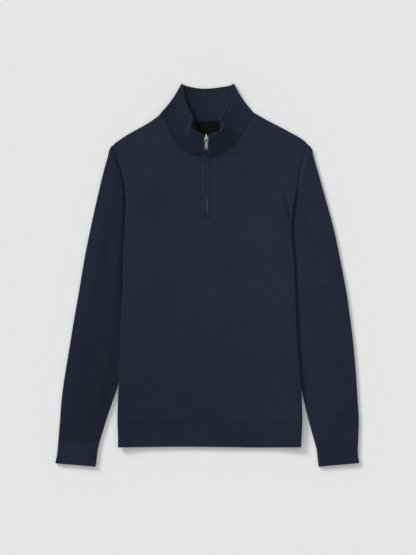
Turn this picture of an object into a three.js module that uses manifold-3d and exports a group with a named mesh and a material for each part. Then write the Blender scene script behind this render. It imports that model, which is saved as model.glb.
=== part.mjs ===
// Quarter zip sweater in fine knit, laid flat on its back with the collar slumped open.
// Millimetres. Z = 0 is the surface it lies on, +Y points to the collar, +X to the viewer's right,
// and the origin is the middle of the garment's footprint.
import * as THREE from 'three';
import Module from 'manifold-3d';
import { mergeVertices } from 'three/addons/utils/BufferGeometryUtils.js';

const wasm = await Module();
wasm.setup();

// Driving dimensions
const KNIT = 1.6; // wall of the body and sleeve knit
const RIB = 2.0; // wall of the doubled hem band and cuffs
const COLLAR_WALL = 3.0; // doubled collar
const COLLAR_EDGE = 2.0; // wall of its rounded top edge
const LOFT = 1.5; // air between the upper and lower layer of the body and sleeves
const SEAM = 0.3; // gap between neighbouring pieces
const CUFF_LINE_Y = -341;
const HEM_LINE_Y = -304.4;
const HEM_DEPTH = 48.4; // of the hem band at its two sides
const HEM_BOW = 1.3; // how much shallower the band is in the middle
const EDGE_THINNING = 0.6; // wall of a band's free edge, as a share of its own
const ZIP_X = -1.8; // centre line of the zip
const ZIP_FOOT_Y = 119; // lower end of the placket slit
const STRIP_WIDTH = 9.4; // each knit strip beside the zip
const TEETH_FOOT_Y = 127.5;

// Heights of the middle of each wall
const UNDER_Z = KNIT / 2;
const OVER_Z = KNIT * 1.5 + LOFT;
const FOLD_RADIUS = (OVER_Z - UNDER_Z) / 2;
const FOLD_Z = (OVER_Z + UNDER_Z) / 2;
const SLEEVE_TOP = OVER_Z + KNIT / 2;
const LAP_RISE = SLEEVE_TOP + 0.4; // how far the body's sides rise where they lie on a sleeve
const LAP_SLOPE = 48; // width over which the body comes down from the sleeve

const COLOURS = {
  knit: 0x262a39,
  rib: 0x232736,
  collar: 0x252938,
  label: 0x0b0b0d,
  metal: 0xb9bcc2,
  strip: 0x232736,
};

// Side edges of the body: the armhole seam above the armpit, the side seam and hem band below it
const BODY_EDGES = [
  { y: -353.6, left: -182.8, right: 192.2 },
  { y: -330, left: -183, right: 193.4 },
  { y: -297, left: -184, right: 194.8 },
  { y: -256, left: -183, right: 193.8 },
  { y: -209, left: -180.4, right: 191.2 },
  { y: -157, left: -179, right: 186.6 },
  { y: -106, left: -177.4, right: 183.4 },
  { y: -28, left: -172.8, right: 180.6 },
  { y: 30, left: -172, right: 178.4 },
  { y: 64, left: -170.6, right: 175 },
  { y: 99, left: -168, right: 171.8 },
  { y: 136, left: -166, right: 177 },
  { y: 154, left: -166, right: 180 },
  { y: 182, left: -169.8, right: 184 },
  { y: 216, left: -177, right: 188.4 },
  { y: 245, left: -186, right: 197 },
  { y: 272, left: -192.3, right: 204.8 },
];

// Top of the front and back panels: shoulder line, then the neckline, then the other shoulder
const SHOULDER_LEFT = [
  { x: -192.3, y: 269 },
  { x: -181, y: 276.6 },
  { x: -169.3, y: 284.8 },
  { x: -155.2, y: 293.2 },
  { x: -139.8, y: 301.6 },
  { x: -125, y: 309.8 },
  { x: -112.5, y: 318 },
  { x: -101.5, y: 326 },
  { x: -95, y: 331.6 },
];
const SHOULDER_RIGHT = [
  { x: 92.6, y: 334.2 },
  { x: 98.6, y: 331.6 },
  { x: 108, y: 326.6 },
  { x: 123, y: 318 },
  { x: 139, y: 309.8 },
  { x: 154.8, y: 301.6 },
  { x: 169.7, y: 293.4 },
  { x: 185.5, y: 285 },
  { x: 197.6, y: 276.8 },
  { x: 204.8, y: 270.8 },
];
const FRONT_NECK = [
  { x: -95, y: 331.6 },
  { x: -85, y: 314 },
  { x: -74.6, y: 289 },
  { x: -62, y: 268 },
  { x: -41, y: 251 },
  { x: -24, y: 244.6 },
  { x: -1.8, y: 242.4 },
  { x: 9, y: 243 },
  { x: 24, y: 247 },
  { x: 42.6, y: 257.7 },
  { x: 61.3, y: 276.5 },
  { x: 76, y: 297.5 },
  { x: 85.5, y: 319 },
  { x: 92.6, y: 334.2 },
];
const BACK_NECK = [
  { x: -95, y: 331.6 },
  { x: -80, y: 326.5 },
  { x: -55, y: 320.5 },
  { x: -28, y: 317.4 },
  { x: 0, y: 316.6 },
  { x: 28, y: 317.8 },
  { x: 55, y: 321.4 },
  { x: 78, y: 327.6 },
  { x: 92.6, y: 334.2 },
];

// Sleeves from armhole to cuff: outer fold and inner (underarm) fold of each section
const SLEEVE_LEFT = [
  { outX: -191.6, outY: 267.4, inX: -166.4, inY: 152, cap: 1 },
  { outX: -197.8, outY: 263.4, inX: -166.2, inY: 147.6, cap: 0.96 },
  { outX: -201.4, outY: 257, inX: -165.8, inY: 138.4, cap: 0.88 },
  { outX: -204.2, outY: 244, inX: -165, inY: 124, cap: 0.72 },
  { outX: -212, outY: 215.7, inX: -163.5, inY: 95, cap: 0.45 },
  { outX: -226.6, outY: 154, inX: -162, inY: 50, cap: 0.2 },
  { outX: -240, outY: 92.7, inX: -161, inY: 5, cap: 0 },
  { outX: -252.4, outY: 31, inX: -161.5, inY: -40, cap: 0 },
  { outX: -262.6, outY: -30, inX: -163.5, inY: -86, cap: 0 },
  { outX: -273.5, outY: -92, inX: -167.5, inY: -134, cap: 0 },
  { outX: -283.5, outY: -153, inX: -174, inY: -182, cap: 0 },
  { outX: -293.6, outY: -215, inX: -183, inY: -224, cap: 0 },
  { outX: -299, outY: -256, inX: -194.3, inY: -259, cap: 0 },
  { outX: -302, outY: -297, inX: -207.3, inY: -297, cap: 0 },
  { outX: -305.7, outY: CUFF_LINE_Y, inX: -220.8, inY: CUFF_LINE_Y, cap: 0 },
];
const SLEEVE_RIGHT = [
  { outX: 204.6, outY: 268.8, inX: 180.2, inY: 152, cap: 1 },
  { outX: 211.6, outY: 264.4, inX: 178.8, inY: 147.6, cap: 0.96 },
  { outX: 215.8, outY: 257.6, inX: 176.8, inY: 138.4, cap: 0.88 },
  { outX: 218.6, outY: 244, inX: 173.4, inY: 124, cap: 0.72 },
  { outX: 226.4, outY: 215.7, inX: 167.4, inY: 95, cap: 0.45 },
  { outX: 243.6, outY: 154, inX: 166, inY: 50, cap: 0.2 },
  { outX: 260, outY: 92.7, inX: 166, inY: 5, cap: 0 },
  { outX: 273, outY: 31, inX: 167.6, inY: -40, cap: 0 },
  { outX: 284.7, outY: -30, inX: 170.4, inY: -86, cap: 0 },
  { outX: 293.8, outY: -92, inX: 175, inY: -134, cap: 0 },
  { outX: 301, outY: -153, inX: 181.6, inY: -182, cap: 0 },
  { outX: 306, outY: -215, inX: 191.4, inY: -224, cap: 0 },
  { outX: 308.5, outY: -256, inX: 199, inY: -259, cap: 0 },
  { outX: 311, outY: -297, inX: 208, inY: -297, cap: 0 },
  { outX: 309.8, outY: CUFF_LINE_Y, inX: 220, inY: CUFF_LINE_Y, cap: 0 },
];
const CUFF_LEFT = [
  { outX: -305.7, outY: CUFF_LINE_Y, inX: -220.8, inY: CUFF_LINE_Y, cap: 0 },
  { outX: -306.8, outY: -356, inX: -224.6, inY: -358, cap: 0 },
  { outX: -308.8, outY: -371, inX: -226.8, inY: -375, cap: 0 },
  { outX: -311.4, outY: -385.6, inX: -229.4, inY: -392.4, cap: 0 },
];
const CUFF_RIGHT = [
  { outX: 309.8, outY: CUFF_LINE_Y, inX: 220, inY: CUFF_LINE_Y, cap: 0 },
  { outX: 308.9, outY: -356, inX: 224.6, inY: -358, cap: 0 },
  { outX: 309.4, outY: -371, inX: 226.4, inY: -375, cap: 0 },
  { outX: 311.4, outY: -385.2, inX: 228.6, inY: -392.4, cap: 0 },
];

// Collar: neckline seam to top edge at each station, from the zip round the back to the zip again
const COLLAR_FRONT_LEFT = [
  { seamX: -11.6, topX: -11.6, topY: 287.8, topZ: 20.6 },
  { seamX: -24, topX: -21.4, topY: 291.6, topZ: 21.4 },
  { seamX: -41, topX: -31.2, topY: 298.8, topZ: 21.4 },
  { seamX: -56, topX: -32.4, topY: 308.4, topZ: 20 },
  { seamX: -68, topX: -28.4, topY: 318.6, topZ: 18 },
  { seamX: -78, topX: -34, topY: 331, topZ: 15 },
  { seamX: -86, topX: -40.6, topY: 346, topZ: 11.4 },
  { seamX: -91, topX: -46.6, topY: 364.6, topZ: 8 },
];
const COLLAR_FRONT_RIGHT = [
  { seamX: 8, topX: 8, topY: 287.8, topZ: 20.6 },
  { seamX: 22, topX: 19.4, topY: 292, topZ: 21.4 },
  { seamX: 38, topX: 29.8, topY: 299, topZ: 21.2 },
  { seamX: 54, topX: 32, topY: 309, topZ: 19.6 },
  { seamX: 66, topX: 27.2, topY: 319.6, topZ: 17.6 },
  { seamX: 76, topX: 31.8, topY: 332.4, topZ: 14.6 },
  { seamX: 83, topX: 38.2, topY: 347, topZ: 11.2 },
  { seamX: 88, topX: 45, topY: 364.4, topZ: 8 },
];
const COLLAR_BACK = [
  { seamX: -80, topX: -40, topY: 387 },
  { seamX: -52, topX: -25, topY: 384 },
  { seamX: -25, topX: -11, topY: 382.7 },
  { seamX: 0, topX: 1, topY: 382.7 },
  { seamX: 26, topX: 14, topY: 383.2 },
  { seamX: 52, topX: 28, topY: 384.8 },
  { seamX: 76, topX: 43, topY: 387.6 },
];
const NECK_FOLD_LEFT = { seamX: -95.2, seamY: 333.2, tipX: -52.9, tipY: 393 };
const NECK_FOLD_RIGHT = { seamX: 93.4, seamY: 335.9, tipX: 54.9, tipY: 393 };
const NECK_FOLD_RADIUS = 2;
const NECK_FOLD_BOW = 2.9; // how far each side line bows in
const COLLAR_SEAM_Z = 3.8;

// Path of the collar's front from seam to top edge, as shares of its width and of its rise:
// rise is its height at the zip, low its height where it lies on the shoulders
const COLLAR_PROFILE = [
  { along: 0, rise: 0, low: 0 },
  { along: 0.045, rise: 0.035, low: 0.012 },
  { along: 0.1, rise: 0.15, low: 0.035 },
  { along: 0.18, rise: 0.3, low: 0.08 },
  { along: 0.38, rise: 0.47, low: 0.24 },
  { along: 0.6, rise: 0.66, low: 0.5 },
  { along: 0.82, rise: 0.85, low: 0.81 },
  { along: 1, rise: 1, low: 1 },
];
const COLLAR_LOW_FROM = 12; // from the zip: the collar's path turns from rise to low
const COLLAR_LOW_TO = 36;

// Soft ridges and troughs of the upper layer, each along a line
const CREASES = [
  { piece: 'body', x0: 158, y0: 150, x1: 120, y1: 196, width: 9, rise: 1.3 },
  { piece: 'body', x0: 164, y0: 112, x1: 118, y1: 128, width: 11, rise: 0.9 },
  { piece: 'body', x0: -154, y0: 132, x1: -112, y1: 184, width: 11, rise: 1.1 },
  { piece: 'body', x0: -146, y0: -40, x1: -96, y1: -22, width: 16, rise: 0.7 },
  { piece: 'body', x0: 150, y0: -176, x1: 84, y1: -196, width: 17, rise: 0.8 },
  { piece: 'body', x0: -60, y0: 222, x1: -104, y1: 262, width: 14, rise: 0.8 },
  { piece: 'body', x0: 66, y0: 224, x1: 108, y1: 258, width: 14, rise: 0.7 },
  { piece: 'sleeve', x0: -197, y0: 226, x1: -205, y1: 128, width: 7, rise: -0.7 },
  { piece: 'sleeve', x0: -205, y0: 128, x1: -203, y1: 0, width: 7, rise: -0.6 },
  { piece: 'sleeve', x0: -262, y0: -4, x1: -226, y1: -24, width: 9, rise: 1 },
  { piece: 'sleeve', x0: 282, y0: 2, x1: 240, y1: -20, width: 9, rise: 1 },
  { piece: 'sleeve', x0: 214, y0: 214, x1: 204, y1: 104, width: 8, rise: -0.6 },
  { piece: 'sleeve', x0: 300, y0: -262, x1: 262, y1: -282, width: 9, rise: 0.8 },
  { piece: 'sleeve', x0: -292, y0: -248, x1: -252, y1: -270, width: 9, rise: 0.8 },
];

// Curve through a table: value of one column where the key column reaches t
function tableCurve(rows, key, column) {
  const sorted = [...rows].sort((a, b) => a[key] - b[key]);
  const slope = (i) => {
    const before = sorted[Math.max(0, i - 1)];
    const after = sorted[Math.min(sorted.length - 1, i + 1)];
    return (after[column] - before[column]) / (after[key] - before[key]);
  };
  return (t) => {
    const last = sorted.length - 1;
    if (t <= sorted[0][key]) {
      return sorted[0][column];
    }
    if (t >= sorted[last][key]) {
      return sorted[last][column];
    }
    const i = sorted.findIndex((row, n) => n < last && t <= sorted[n + 1][key]);
    const span = sorted[i + 1][key] - sorted[i][key];
    const s = (t - sorted[i][key]) / span;
    const bend = (s * s * s - 2 * s * s + s) * span * slope(i);
    const bendNext = (s * s * s - s * s) * span * slope(i + 1);
    const rest = 2 * s * s * s - 3 * s * s + 1;
    return rest * sorted[i][column] + (1 - rest) * sorted[i + 1][column] + bend + bendNext;
  };
}

const ramp = (from, to, t) => THREE.MathUtils.smoothstep((t - from) / (to - from), 0, 1);
const mix = THREE.MathUtils.lerp;

const bodyLeft = tableCurve(BODY_EDGES, 'y', 'left');
const bodyRight = tableCurve(BODY_EDGES, 'y', 'right');
const underarmLeft = tableCurve(SLEEVE_LEFT, 'inY', 'inX');
const underarmRight = tableCurve(SLEEVE_RIGHT, 'inY', 'inX');
const shoulderLeft = tableCurve(SHOULDER_LEFT, 'x', 'y');
const shoulderRight = tableCurve(SHOULDER_RIGHT, 'x', 'y');
const frontNeck = tableCurve(FRONT_NECK, 'x', 'y');
const backNeck = tableCurve(BACK_NECK, 'x', 'y');

const LAP_TOP = { left: 172, right: 176 }; // where each side of the body starts to lie on the sleeve
const LAP_LENGTH = 20; // down from there the body lies fully on the sleeve
const LAP_SPILL = 52; // up from there the body's edge comes down to the armhole seam
const FOLD_LENGTH = 14; // along the side, from the armhole seam to the full side fold

// Rise of the body's sides over the sleeves that are tucked under them
function lap(x, y) {
  const left = (1 - ramp(LAP_TOP.left - LAP_LENGTH, LAP_TOP.left + LAP_SPILL, y))
    * ramp(-LAP_SLOPE, -0.5, underarmLeft(y) - x);
  const right = (1 - ramp(LAP_TOP.right - LAP_LENGTH, LAP_TOP.right + LAP_SPILL, y))
    * ramp(-LAP_SLOPE, -0.5, x - underarmRight(y));
  return LAP_RISE * Math.max(left, right);
}

// Height that the creases add to the upper layer of the body or of a sleeve
function creases(piece, x, y) {
  let height = 0;
  for (const row of CREASES) {
    if (row.piece !== piece) continue;
    const dx = row.x1 - row.x0;
    const dy = row.y1 - row.y0;
    const length = Math.hypot(dx, dy);
    const along = ((x - row.x0) * dx + (y - row.y0) * dy) / length;
    const across = ((x - row.x0) * dy - (y - row.y0) * dx) / length;
    const past = Math.max(0, -along, along - length) / (row.width * 1.6);
    height += row.rise * Math.exp(-((across / row.width) ** 2) - past * past);
  }
  return height;
}

// Closed solid from a grid of points on the middle of a wall. grid[row][column] are Vector3,
// wall(row) is the thickness there, "ring" joins the last column to the first, and open(row,
// column) leaves out a cell of the grid.
function thickSheet(grid, wall, ring = false, open = () => false) {
  const rows = grid.length;
  const columns = grid[0].length;
  const wallAt = typeof wall === 'function' ? wall : () => wall;
  const slopeOf = (at, i, count, closed) => {
    if (closed) return at((i + 1) % count).clone().sub(at((i + count - 1) % count));
    if (i > 0 && i < count - 1) return at(i + 1).clone().sub(at(i - 1));
    const step = i === 0 ? 1 : -1;
    const slope = at(i).clone().multiplyScalar(-3);
    slope.addScaledVector(at(i + step), 4).sub(at(i + 2 * step));
    return slope.multiplyScalar(step);
  };
  const positions = [];
  const normals = [];
  for (let r = 0; r < rows; r += 1) {
    for (let c = 0; c < columns; c += 1) {
      const across = slopeOf((i) => grid[r][i], c, columns, ring).normalize();
      const along = slopeOf((i) => grid[i][c], r, rows, false).normalize();
      normals.push(across.cross(along).normalize());
    }
  }
  for (const side of [0.5, -0.5]) {
    for (let r = 0; r < rows; r += 1) {
      for (let c = 0; c < columns; c += 1) {
        const point = grid[r][c].clone();
        point.addScaledVector(normals[r * columns + c], side * wallAt(r));
        positions.push(point.x, point.y, Math.max(0, point.z));
      }
    }
  }
  const index = [];
  const half = rows * columns;
  const quad = (a, b, c, d) => index.push(a, b, c, a, c, d);
  const cells = ring ? columns : columns - 1;
  const has = (r, c) => {
    if (r < 0 || r >= rows - 1) return false;
    if (!ring && (c < 0 || c >= cells)) return false;
    return !open(r, (c + cells) % cells);
  };
  for (let r = 0; r < rows - 1; r += 1) {
    for (let c = 0; c < cells; c += 1) {
      if (!has(r, c)) continue;
      const next = (c + 1) % columns;
      const a = r * columns + c;
      const b = r * columns + next;
      const d = (r + 1) * columns + c;
      const e = (r + 1) * columns + next;
      quad(a, b, e, d);
      quad(half + a, half + d, half + e, half + b);
      if (!has(r - 1, c)) quad(half + a, half + b, b, a);
      if (!has(r + 1, c)) quad(half + e, half + d, d, e);
      if (!has(r, c - 1)) quad(half + d, half + a, a, d);
      if (!has(r, c + 1)) quad(half + b, half + e, e, b);
    }
  }
  const geometry = new THREE.BufferGeometry();
  geometry.setAttribute('position', new THREE.Float32BufferAttribute(positions, 3));
  geometry.setIndex(index);
  return geometry;
}

// Solids for cutting and joining
function toSolid(geometry) {
  const bare = geometry.clone();
  bare.deleteAttribute('normal');
  bare.deleteAttribute('uv');
  const merged = mergeVertices(bare, 1e-4);
  return new wasm.Manifold(new wasm.Mesh({
    numProp: 3,
    vertProperties: new Float32Array(merged.attributes.position.array),
    triVerts: new Uint32Array(merged.index.array),
  }));
}

function fromSolid(solid) {
  const mesh = solid.getMesh();
  const geometry = new THREE.BufferGeometry();
  geometry.setAttribute('position', new THREE.BufferAttribute(new Float32Array(mesh.vertProperties), 3));
  geometry.setIndex(new THREE.BufferAttribute(new Uint32Array(mesh.triVerts), 1));
  return geometry;
}

// Body panels and hem bands
const FOLD_STEPS = [0, 45, 90].map(THREE.MathUtils.degToRad);
const SLOT_LEFT = ZIP_X - STRIP_WIDTH - SEAM;
const SLOT_RIGHT = ZIP_X + STRIP_WIDTH + SEAM;
const EDGE_STEPS = [6, 11, 17, 24, 33]; // columns beside each side edge, by distance from it
const FRONT_COLUMNS = [
  -134, -112, -101, -95, -89, -81, -72, -63, -52, -40, -26, SLOT_LEFT, ZIP_X, SLOT_RIGHT, 22, 35,
  47, 57, 67, 77, 86, 92, 99, 114, 136, 150,
];
const BACK_COLUMNS = [
  -134, -112, -100, -95, -88, -70, -45, -15, 15, 45, 68, 85, 92, 99, 114, 136, 150,
];
const ROW_HEIGHTS = [
  HEM_LINE_Y, -266, -234, -200, -155, -105, -50, 5, 55, 92, 118, 138, 149, 160, 172, 190,
  208, 226, 244, 262,
];
const FOOT_ROW = 11; // the row that passes the foot of the zip
const CHEST_LEFT = bodyLeft(272);
const CHEST_RIGHT = bodyRight(272);

// One row of a panel: the fold down to the side seam (or the butt seam of the armhole) at both
// ends, and the flat of the panel between them. turn gives how far the row has gone round the
// shoulder fold and where along the row that fold is.
function panelRow(over, wall, yAt, turn) {
  const inner = EDGE_STEPS.at(-1);
  const span = CHEST_RIGHT - CHEST_LEFT - 2 * inner;
  const sign = over ? 1 : -1;
  const flat = over ? OVER_Z + (wall - KNIT) / 2 : wall / 2;
  const radius = Math.abs(flat - FOLD_Z);
  const row = [];
  const heightAt = (x, y) => flat + lap(x, y) + (over ? creases('body', x, y) : 0);
  const place = (x, y, foldShare, angle) => {
    const folded = FOLD_Z + lap(x, y) + sign * (radius * Math.sin(angle) + SEAM / 2);
    const shoulder = FOLD_Z + sign * (radius * Math.sin(turn.angle) + SEAM / 2);
    let z = mix(heightAt(x, y), folded, foldShare);
    if (turn.holds(x) && Math.abs(shoulder - FOLD_Z) < Math.abs(z - FOLD_Z)) z = shoulder;
    row.push(new THREE.Vector3(x, y, z));
  };
  const edge = (side) => {
    const bound = side < 0 ? bodyLeft : bodyRight;
    const lapTop = side < 0 ? LAP_TOP.left : LAP_TOP.right;
    const y = yAt(side < 0 ? CHEST_LEFT : CHEST_RIGHT);
    return FOLD_STEPS.map((angle) => {
      const foldShare = 1 - ramp(lapTop - FOLD_LENGTH, lapTop, y);
      const inset = mix(SEAM / 2, wall / 2, foldShare) + radius * (1 - Math.cos(angle));
      return { x: bound(y) - side * inset, y, foldShare, angle };
    });
  };
  for (const p of edge(-1)) place(p.x, p.y, p.foldShare, p.angle);
  for (const step of EDGE_STEPS) {
    const y = yAt(CHEST_LEFT + step);
    place(bodyLeft(y) + step, y, 0, 0);
  }
  for (const x of over ? FRONT_COLUMNS : BACK_COLUMNS) {
    const y = yAt(x);
    const share = (x - CHEST_LEFT - inner) / span;
    const isSlot = over && x >= SLOT_LEFT && x <= SLOT_RIGHT;
    place(isSlot ? x : mix(bodyLeft(y) + inner, bodyRight(y) - inner, share), y, 0, 0);
  }
  for (const step of [...EDGE_STEPS].reverse()) {
    const y = yAt(CHEST_RIGHT - step);
    place(bodyRight(y) - step, y, 0, 0);
  }
  for (const p of edge(1).reverse()) place(p.x, p.y, p.foldShare, p.angle);
  return row;
}

// The upper panel's outer face looks up and the lower panel's looks down
const facing = (over, grid) => (over ? grid : grid.map((row) => [...row].reverse()));

const NO_TURN = { angle: Math.PI / 2, holds: () => false };

function bodyPanel(over) {
  const neck = over ? frontNeck : backNeck;
  const topAt = (x) => {
    if (x <= SHOULDER_LEFT.at(-1).x) return shoulderLeft(x);
    if (x >= SHOULDER_RIGHT[0].x) return shoulderRight(x);
    return neck(x) - SEAM / 2;
  };
  const neckEdge = 1; // the shoulder fold starts this far inside the neck points
  const onShoulder = (x) => (
    x < SHOULDER_LEFT.at(-1).x + neckEdge || x > SHOULDER_RIGHT[0].x - neckEdge
  );
  const grid = [];
  const shoulderSlope = 1.22; // how much longer a step along Y is than one square to the shoulder
  const roundTo = KNIT / 2 + FOLD_RADIUS;
  const footShare = (ZIP_FOOT_Y - HEM_LINE_Y) / (frontNeck(ZIP_X) - HEM_LINE_Y - roundTo);
  ROW_HEIGHTS.forEach((height, r) => {
    const evenShare = (height - HEM_LINE_Y) / (ROW_HEIGHTS.at(-1) - HEM_LINE_Y);
    const share = r === FOOT_ROW ? footShare : evenShare;
    const yAt = (x) => mix(HEM_LINE_Y + SEAM / 2, topAt(x) - roundTo * shoulderSlope, share);
    grid.push(panelRow(over, KNIT, yAt, NO_TURN));
  });
  for (const angle of [...FOLD_STEPS].reverse().slice(1)) {
    const inset = KNIT / 2 + FOLD_RADIUS * (1 - Math.cos(angle));
    const yAt = (x) => topAt(x) - shoulderSlope * (onShoulder(x) ? inset : inset - KNIT / 2);
    grid.push(panelRow(over, KNIT, yAt, { angle, holds: onShoulder }));
  }
  const slotFrom = FOLD_STEPS.length + EDGE_STEPS.length + FRONT_COLUMNS.indexOf(SLOT_LEFT);
  const inSlot = (r, c) => over && r >= FOOT_ROW && (c === slotFrom || c === slotFrom + 1);
  return thickSheet(facing(over, grid), KNIT, false, inSlot);
}

function hemBand(over) {
  const grid = [];
  const steps = 5;
  const middle = 5;
  const halfWidth = 190;
  const bow = (x) => HEM_BOW * Math.cos((x - middle) / halfWidth * Math.PI / 2);
  for (let r = 0; r <= steps; r += 1) {
    const share = 1 - r / steps;
    const yAt = (x) => HEM_LINE_Y - SEAM / 2 - share * (HEM_DEPTH - SEAM / 2 - bow(x));
    grid.push(panelRow(over, RIB, yAt, NO_TURN));
  }
  const wall = (r) => (r === 0 ? RIB * EDGE_THINNING : RIB);
  return thickSheet(facing(over, grid), wall);
}

// Sleeves and cuffs: flattened tubes
const TUBE_OVER = [0.06, 0.22, 0.4, 0.6, 0.78, 0.94];
const TUBE_UNDER = [0.88, 0.62, 0.38, 0.12];
const TUBE_FOLD = [-72, -36, 0, 36, 72].map(THREE.MathUtils.degToRad);

function tubeSection(row, side, wall, capCurve) {
  const out = new THREE.Vector3(row.outX, row.outY, 0);
  const inner = new THREE.Vector3(row.inX, row.inY, 0);
  const across = inner.clone().sub(out);
  const width = across.length();
  const unit = across.clone().normalize();
  const over = OVER_Z + (wall - KNIT) / 2;
  const under = wall / 2;
  const radius = (over - under) / 2;
  const middle = (over + under) / 2;
  const edge = wall / 2 + radius;
  const ring = [];
  const place = (distance, z, upper) => {
    const point = out.clone().addScaledVector(unit, distance);
    const share = THREE.MathUtils.clamp(distance / width, 0, 1);
    point.x += row.cap * capCurve(share);
    const free = Math.min(1, 6 * share * (1 - share)); // creases fade out at both folds
    point.z = upper ? z + creases('sleeve', point.x, point.y) * free : z;
    ring.push(point);
  };
  for (const angle of TUBE_FOLD) {
    place(edge - radius * Math.cos(angle), middle + radius * Math.sin(angle), false);
  }
  for (const share of TUBE_OVER) place(mix(edge, width - edge, share), over, true);
  for (const angle of [...TUBE_FOLD].reverse()) {
    place(width - edge + radius * Math.cos(angle), middle + radius * Math.sin(angle), false);
  }
  for (const share of TUBE_UNDER) place(mix(edge, width - edge, share), under, false);
  return side < 0 ? ring : ring.reverse();
}

function tube(table, side, wall, sections, ends, capCurve = () => 0) {
  const keys = ['outX', 'outY', 'inX', 'inY', 'cap'];
  const rows = table.map((row, i) => ({ ...row, t: i / (table.length - 1) }));
  const curves = Object.fromEntries(keys.map((key) => [key, tableCurve(rows, 't', key)]));
  const grid = [];
  for (let s = 0; s <= sections; s += 1) {
    const t = s / sections;
    const row = Object.fromEntries(keys.map((key) => [key, curves[key](t)]));
    if (s === 0) {
      row.outY -= ends.start;
      row.inY -= ends.start;
    }
    if (s === sections) {
      row.outY += ends.finish;
      row.inY += ends.finish;
    }
    grid.push(tubeSection(row, side, wall, capCurve));
  }
  const last = grid.length - 1;
  return thickSheet(grid, (r) => (r === last && ends.thin ? wall * EDGE_THINNING : wall), true);
}

const CAP_SPARE = 0.15; // more gap at the armhole, for the coarse steps of both edges

// Bow of the armhole seam off the straight line between its two ends, so cap and body agree
function armholeBow(table, side) {
  const bound = side < 0 ? bodyLeft : bodyRight;
  const start = table[0];
  return (share) => {
    const y = mix(start.outY, start.inY, share);
    const straight = mix(start.outX, start.inX, share);
    return bound(y) + side * (SEAM + CAP_SPARE) - straight;
  };
}

// Collar
function offsetInPlan(curve, x, distance) {
  const slope = (curve(x + 0.5) - curve(x - 0.5));
  const length = Math.hypot(1, slope);
  return { x: x - (slope / length) * distance, y: curve(x) + distance / length };
}

const COLLAR_SEAM_GAP = 1.1;

function collarColumn(seam, top, low = 0) {
  return COLLAR_PROFILE.map((row) => new THREE.Vector3(
    mix(seam.x, top.x, row.along),
    mix(seam.y, top.y, row.along),
    mix(seam.z, top.z, mix(row.rise, row.low, low)),
  ));
}

function collarFrontColumns(table) {
  return table.map((row) => {
    const foot = offsetInPlan(frontNeck, row.seamX, COLLAR_SEAM_GAP);
    const seam = { x: foot.x, y: foot.y, z: COLLAR_SEAM_Z };
    const low = ramp(COLLAR_LOW_FROM, COLLAR_LOW_TO, Math.abs(row.seamX - ZIP_X));
    return collarColumn(seam, { x: row.topX, y: row.topY, z: row.topZ }, low);
  });
}

// The sheet turning under at the side of the neck, from the front layer down to the back one
function collarFoldColumns(fold) {
  const foot = new THREE.Vector3(fold.seamX, fold.seamY, 0);
  const tip = new THREE.Vector3(fold.tipX, fold.tipY, 0);
  const line = tip.clone().sub(foot).normalize();
  const outward = new THREE.Vector3(-line.y, line.x, 0).multiplyScalar(Math.sign(-fold.seamX));
  const inset = COLLAR_WALL / 2 + NECK_FOLD_RADIUS;
  return [80, 40, 0, -40, -80].map((degrees) => {
    const angle = THREE.MathUtils.degToRad(degrees);
    return COLLAR_PROFILE.map((row) => {
      const bow = NECK_FOLD_BOW * Math.sin(Math.PI * row.along);
      const centre = foot.clone().lerp(tip, row.along).addScaledVector(outward, -inset - bow);
      centre.addScaledVector(outward, NECK_FOLD_RADIUS * Math.cos(angle));
      centre.z = COLLAR_WALL / 2 + NECK_FOLD_RADIUS * (1 + Math.sin(angle));
      return centre;
    });
  });
}

function collarBackColumns() {
  return COLLAR_BACK.map((row) => {
    const foot = offsetInPlan(backNeck, row.seamX, COLLAR_SEAM_GAP);
    const seam = { x: foot.x, y: foot.y, z: COLLAR_WALL / 2 };
    const top = { x: row.topX, y: row.topY, z: COLLAR_WALL / 2 };
    return collarColumn(seam, top);
  });
}

// More columns between the given ones, on a smooth curve through each row
function refine(columns, perSpan) {
  const rowCount = columns[0].length;
  const fine = [];
  const curves = [];
  for (let r = 0; r < rowCount; r += 1) {
    const points = columns.map((column) => column[r]);
    curves.push(new THREE.CatmullRomCurve3(points, false, 'centripetal'));
  }
  const steps = (columns.length - 1) * perSpan;
  for (let s = 0; s <= steps; s += 1) {
    fine.push(curves.map((curve) => curve.getPoint(s / steps)));
  }
  return fine;
}

function collar() {
  const columns = [
    ...refine(collarFrontColumns(COLLAR_FRONT_LEFT), 2),
    ...collarFoldColumns(NECK_FOLD_LEFT),
    ...collarBackColumns(),
    ...collarFoldColumns(NECK_FOLD_RIGHT).reverse(),
    ...refine(collarFrontColumns(COLLAR_FRONT_RIGHT), 2).reverse(),
  ];
  const grid = COLLAR_PROFILE.map((row, r) => columns.map((column) => column[r]).reverse());
  const last = grid.length - 1;
  return thickSheet(grid, (r) => (r === last ? COLLAR_EDGE : COLLAR_WALL));
}

// Zip line: the outer face of the front along the zip, from the placket's foot to the collar's top
function zipLine() {
  const points = [];
  for (let y = ZIP_FOOT_Y; y < 235; y += 12.5) {
    points.push(new THREE.Vector3(ZIP_X, y, SLEEVE_TOP + creases('body', ZIP_X, y)));
  }
  const edge = collarFrontColumns(COLLAR_FRONT_LEFT.slice(0, 1))[0];
  for (let i = 2; i < edge.length; i += 1) {
    const next = edge[Math.min(i + 1, edge.length - 1)];
    const slope = next.clone().sub(edge[i - 1]).setX(0).normalize();
    const out = new THREE.Vector3(0, -slope.z, slope.y).multiplyScalar(COLLAR_WALL / 2);
    points.push(new THREE.Vector3(ZIP_X, edge[i].y, edge[i].z).add(out));
  }
  return new THREE.CatmullRomCurve3(points, false, 'centripetal');
}

const ZIP_LINE = zipLine();
const ZIP_LENGTH = ZIP_LINE.getLength();

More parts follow.
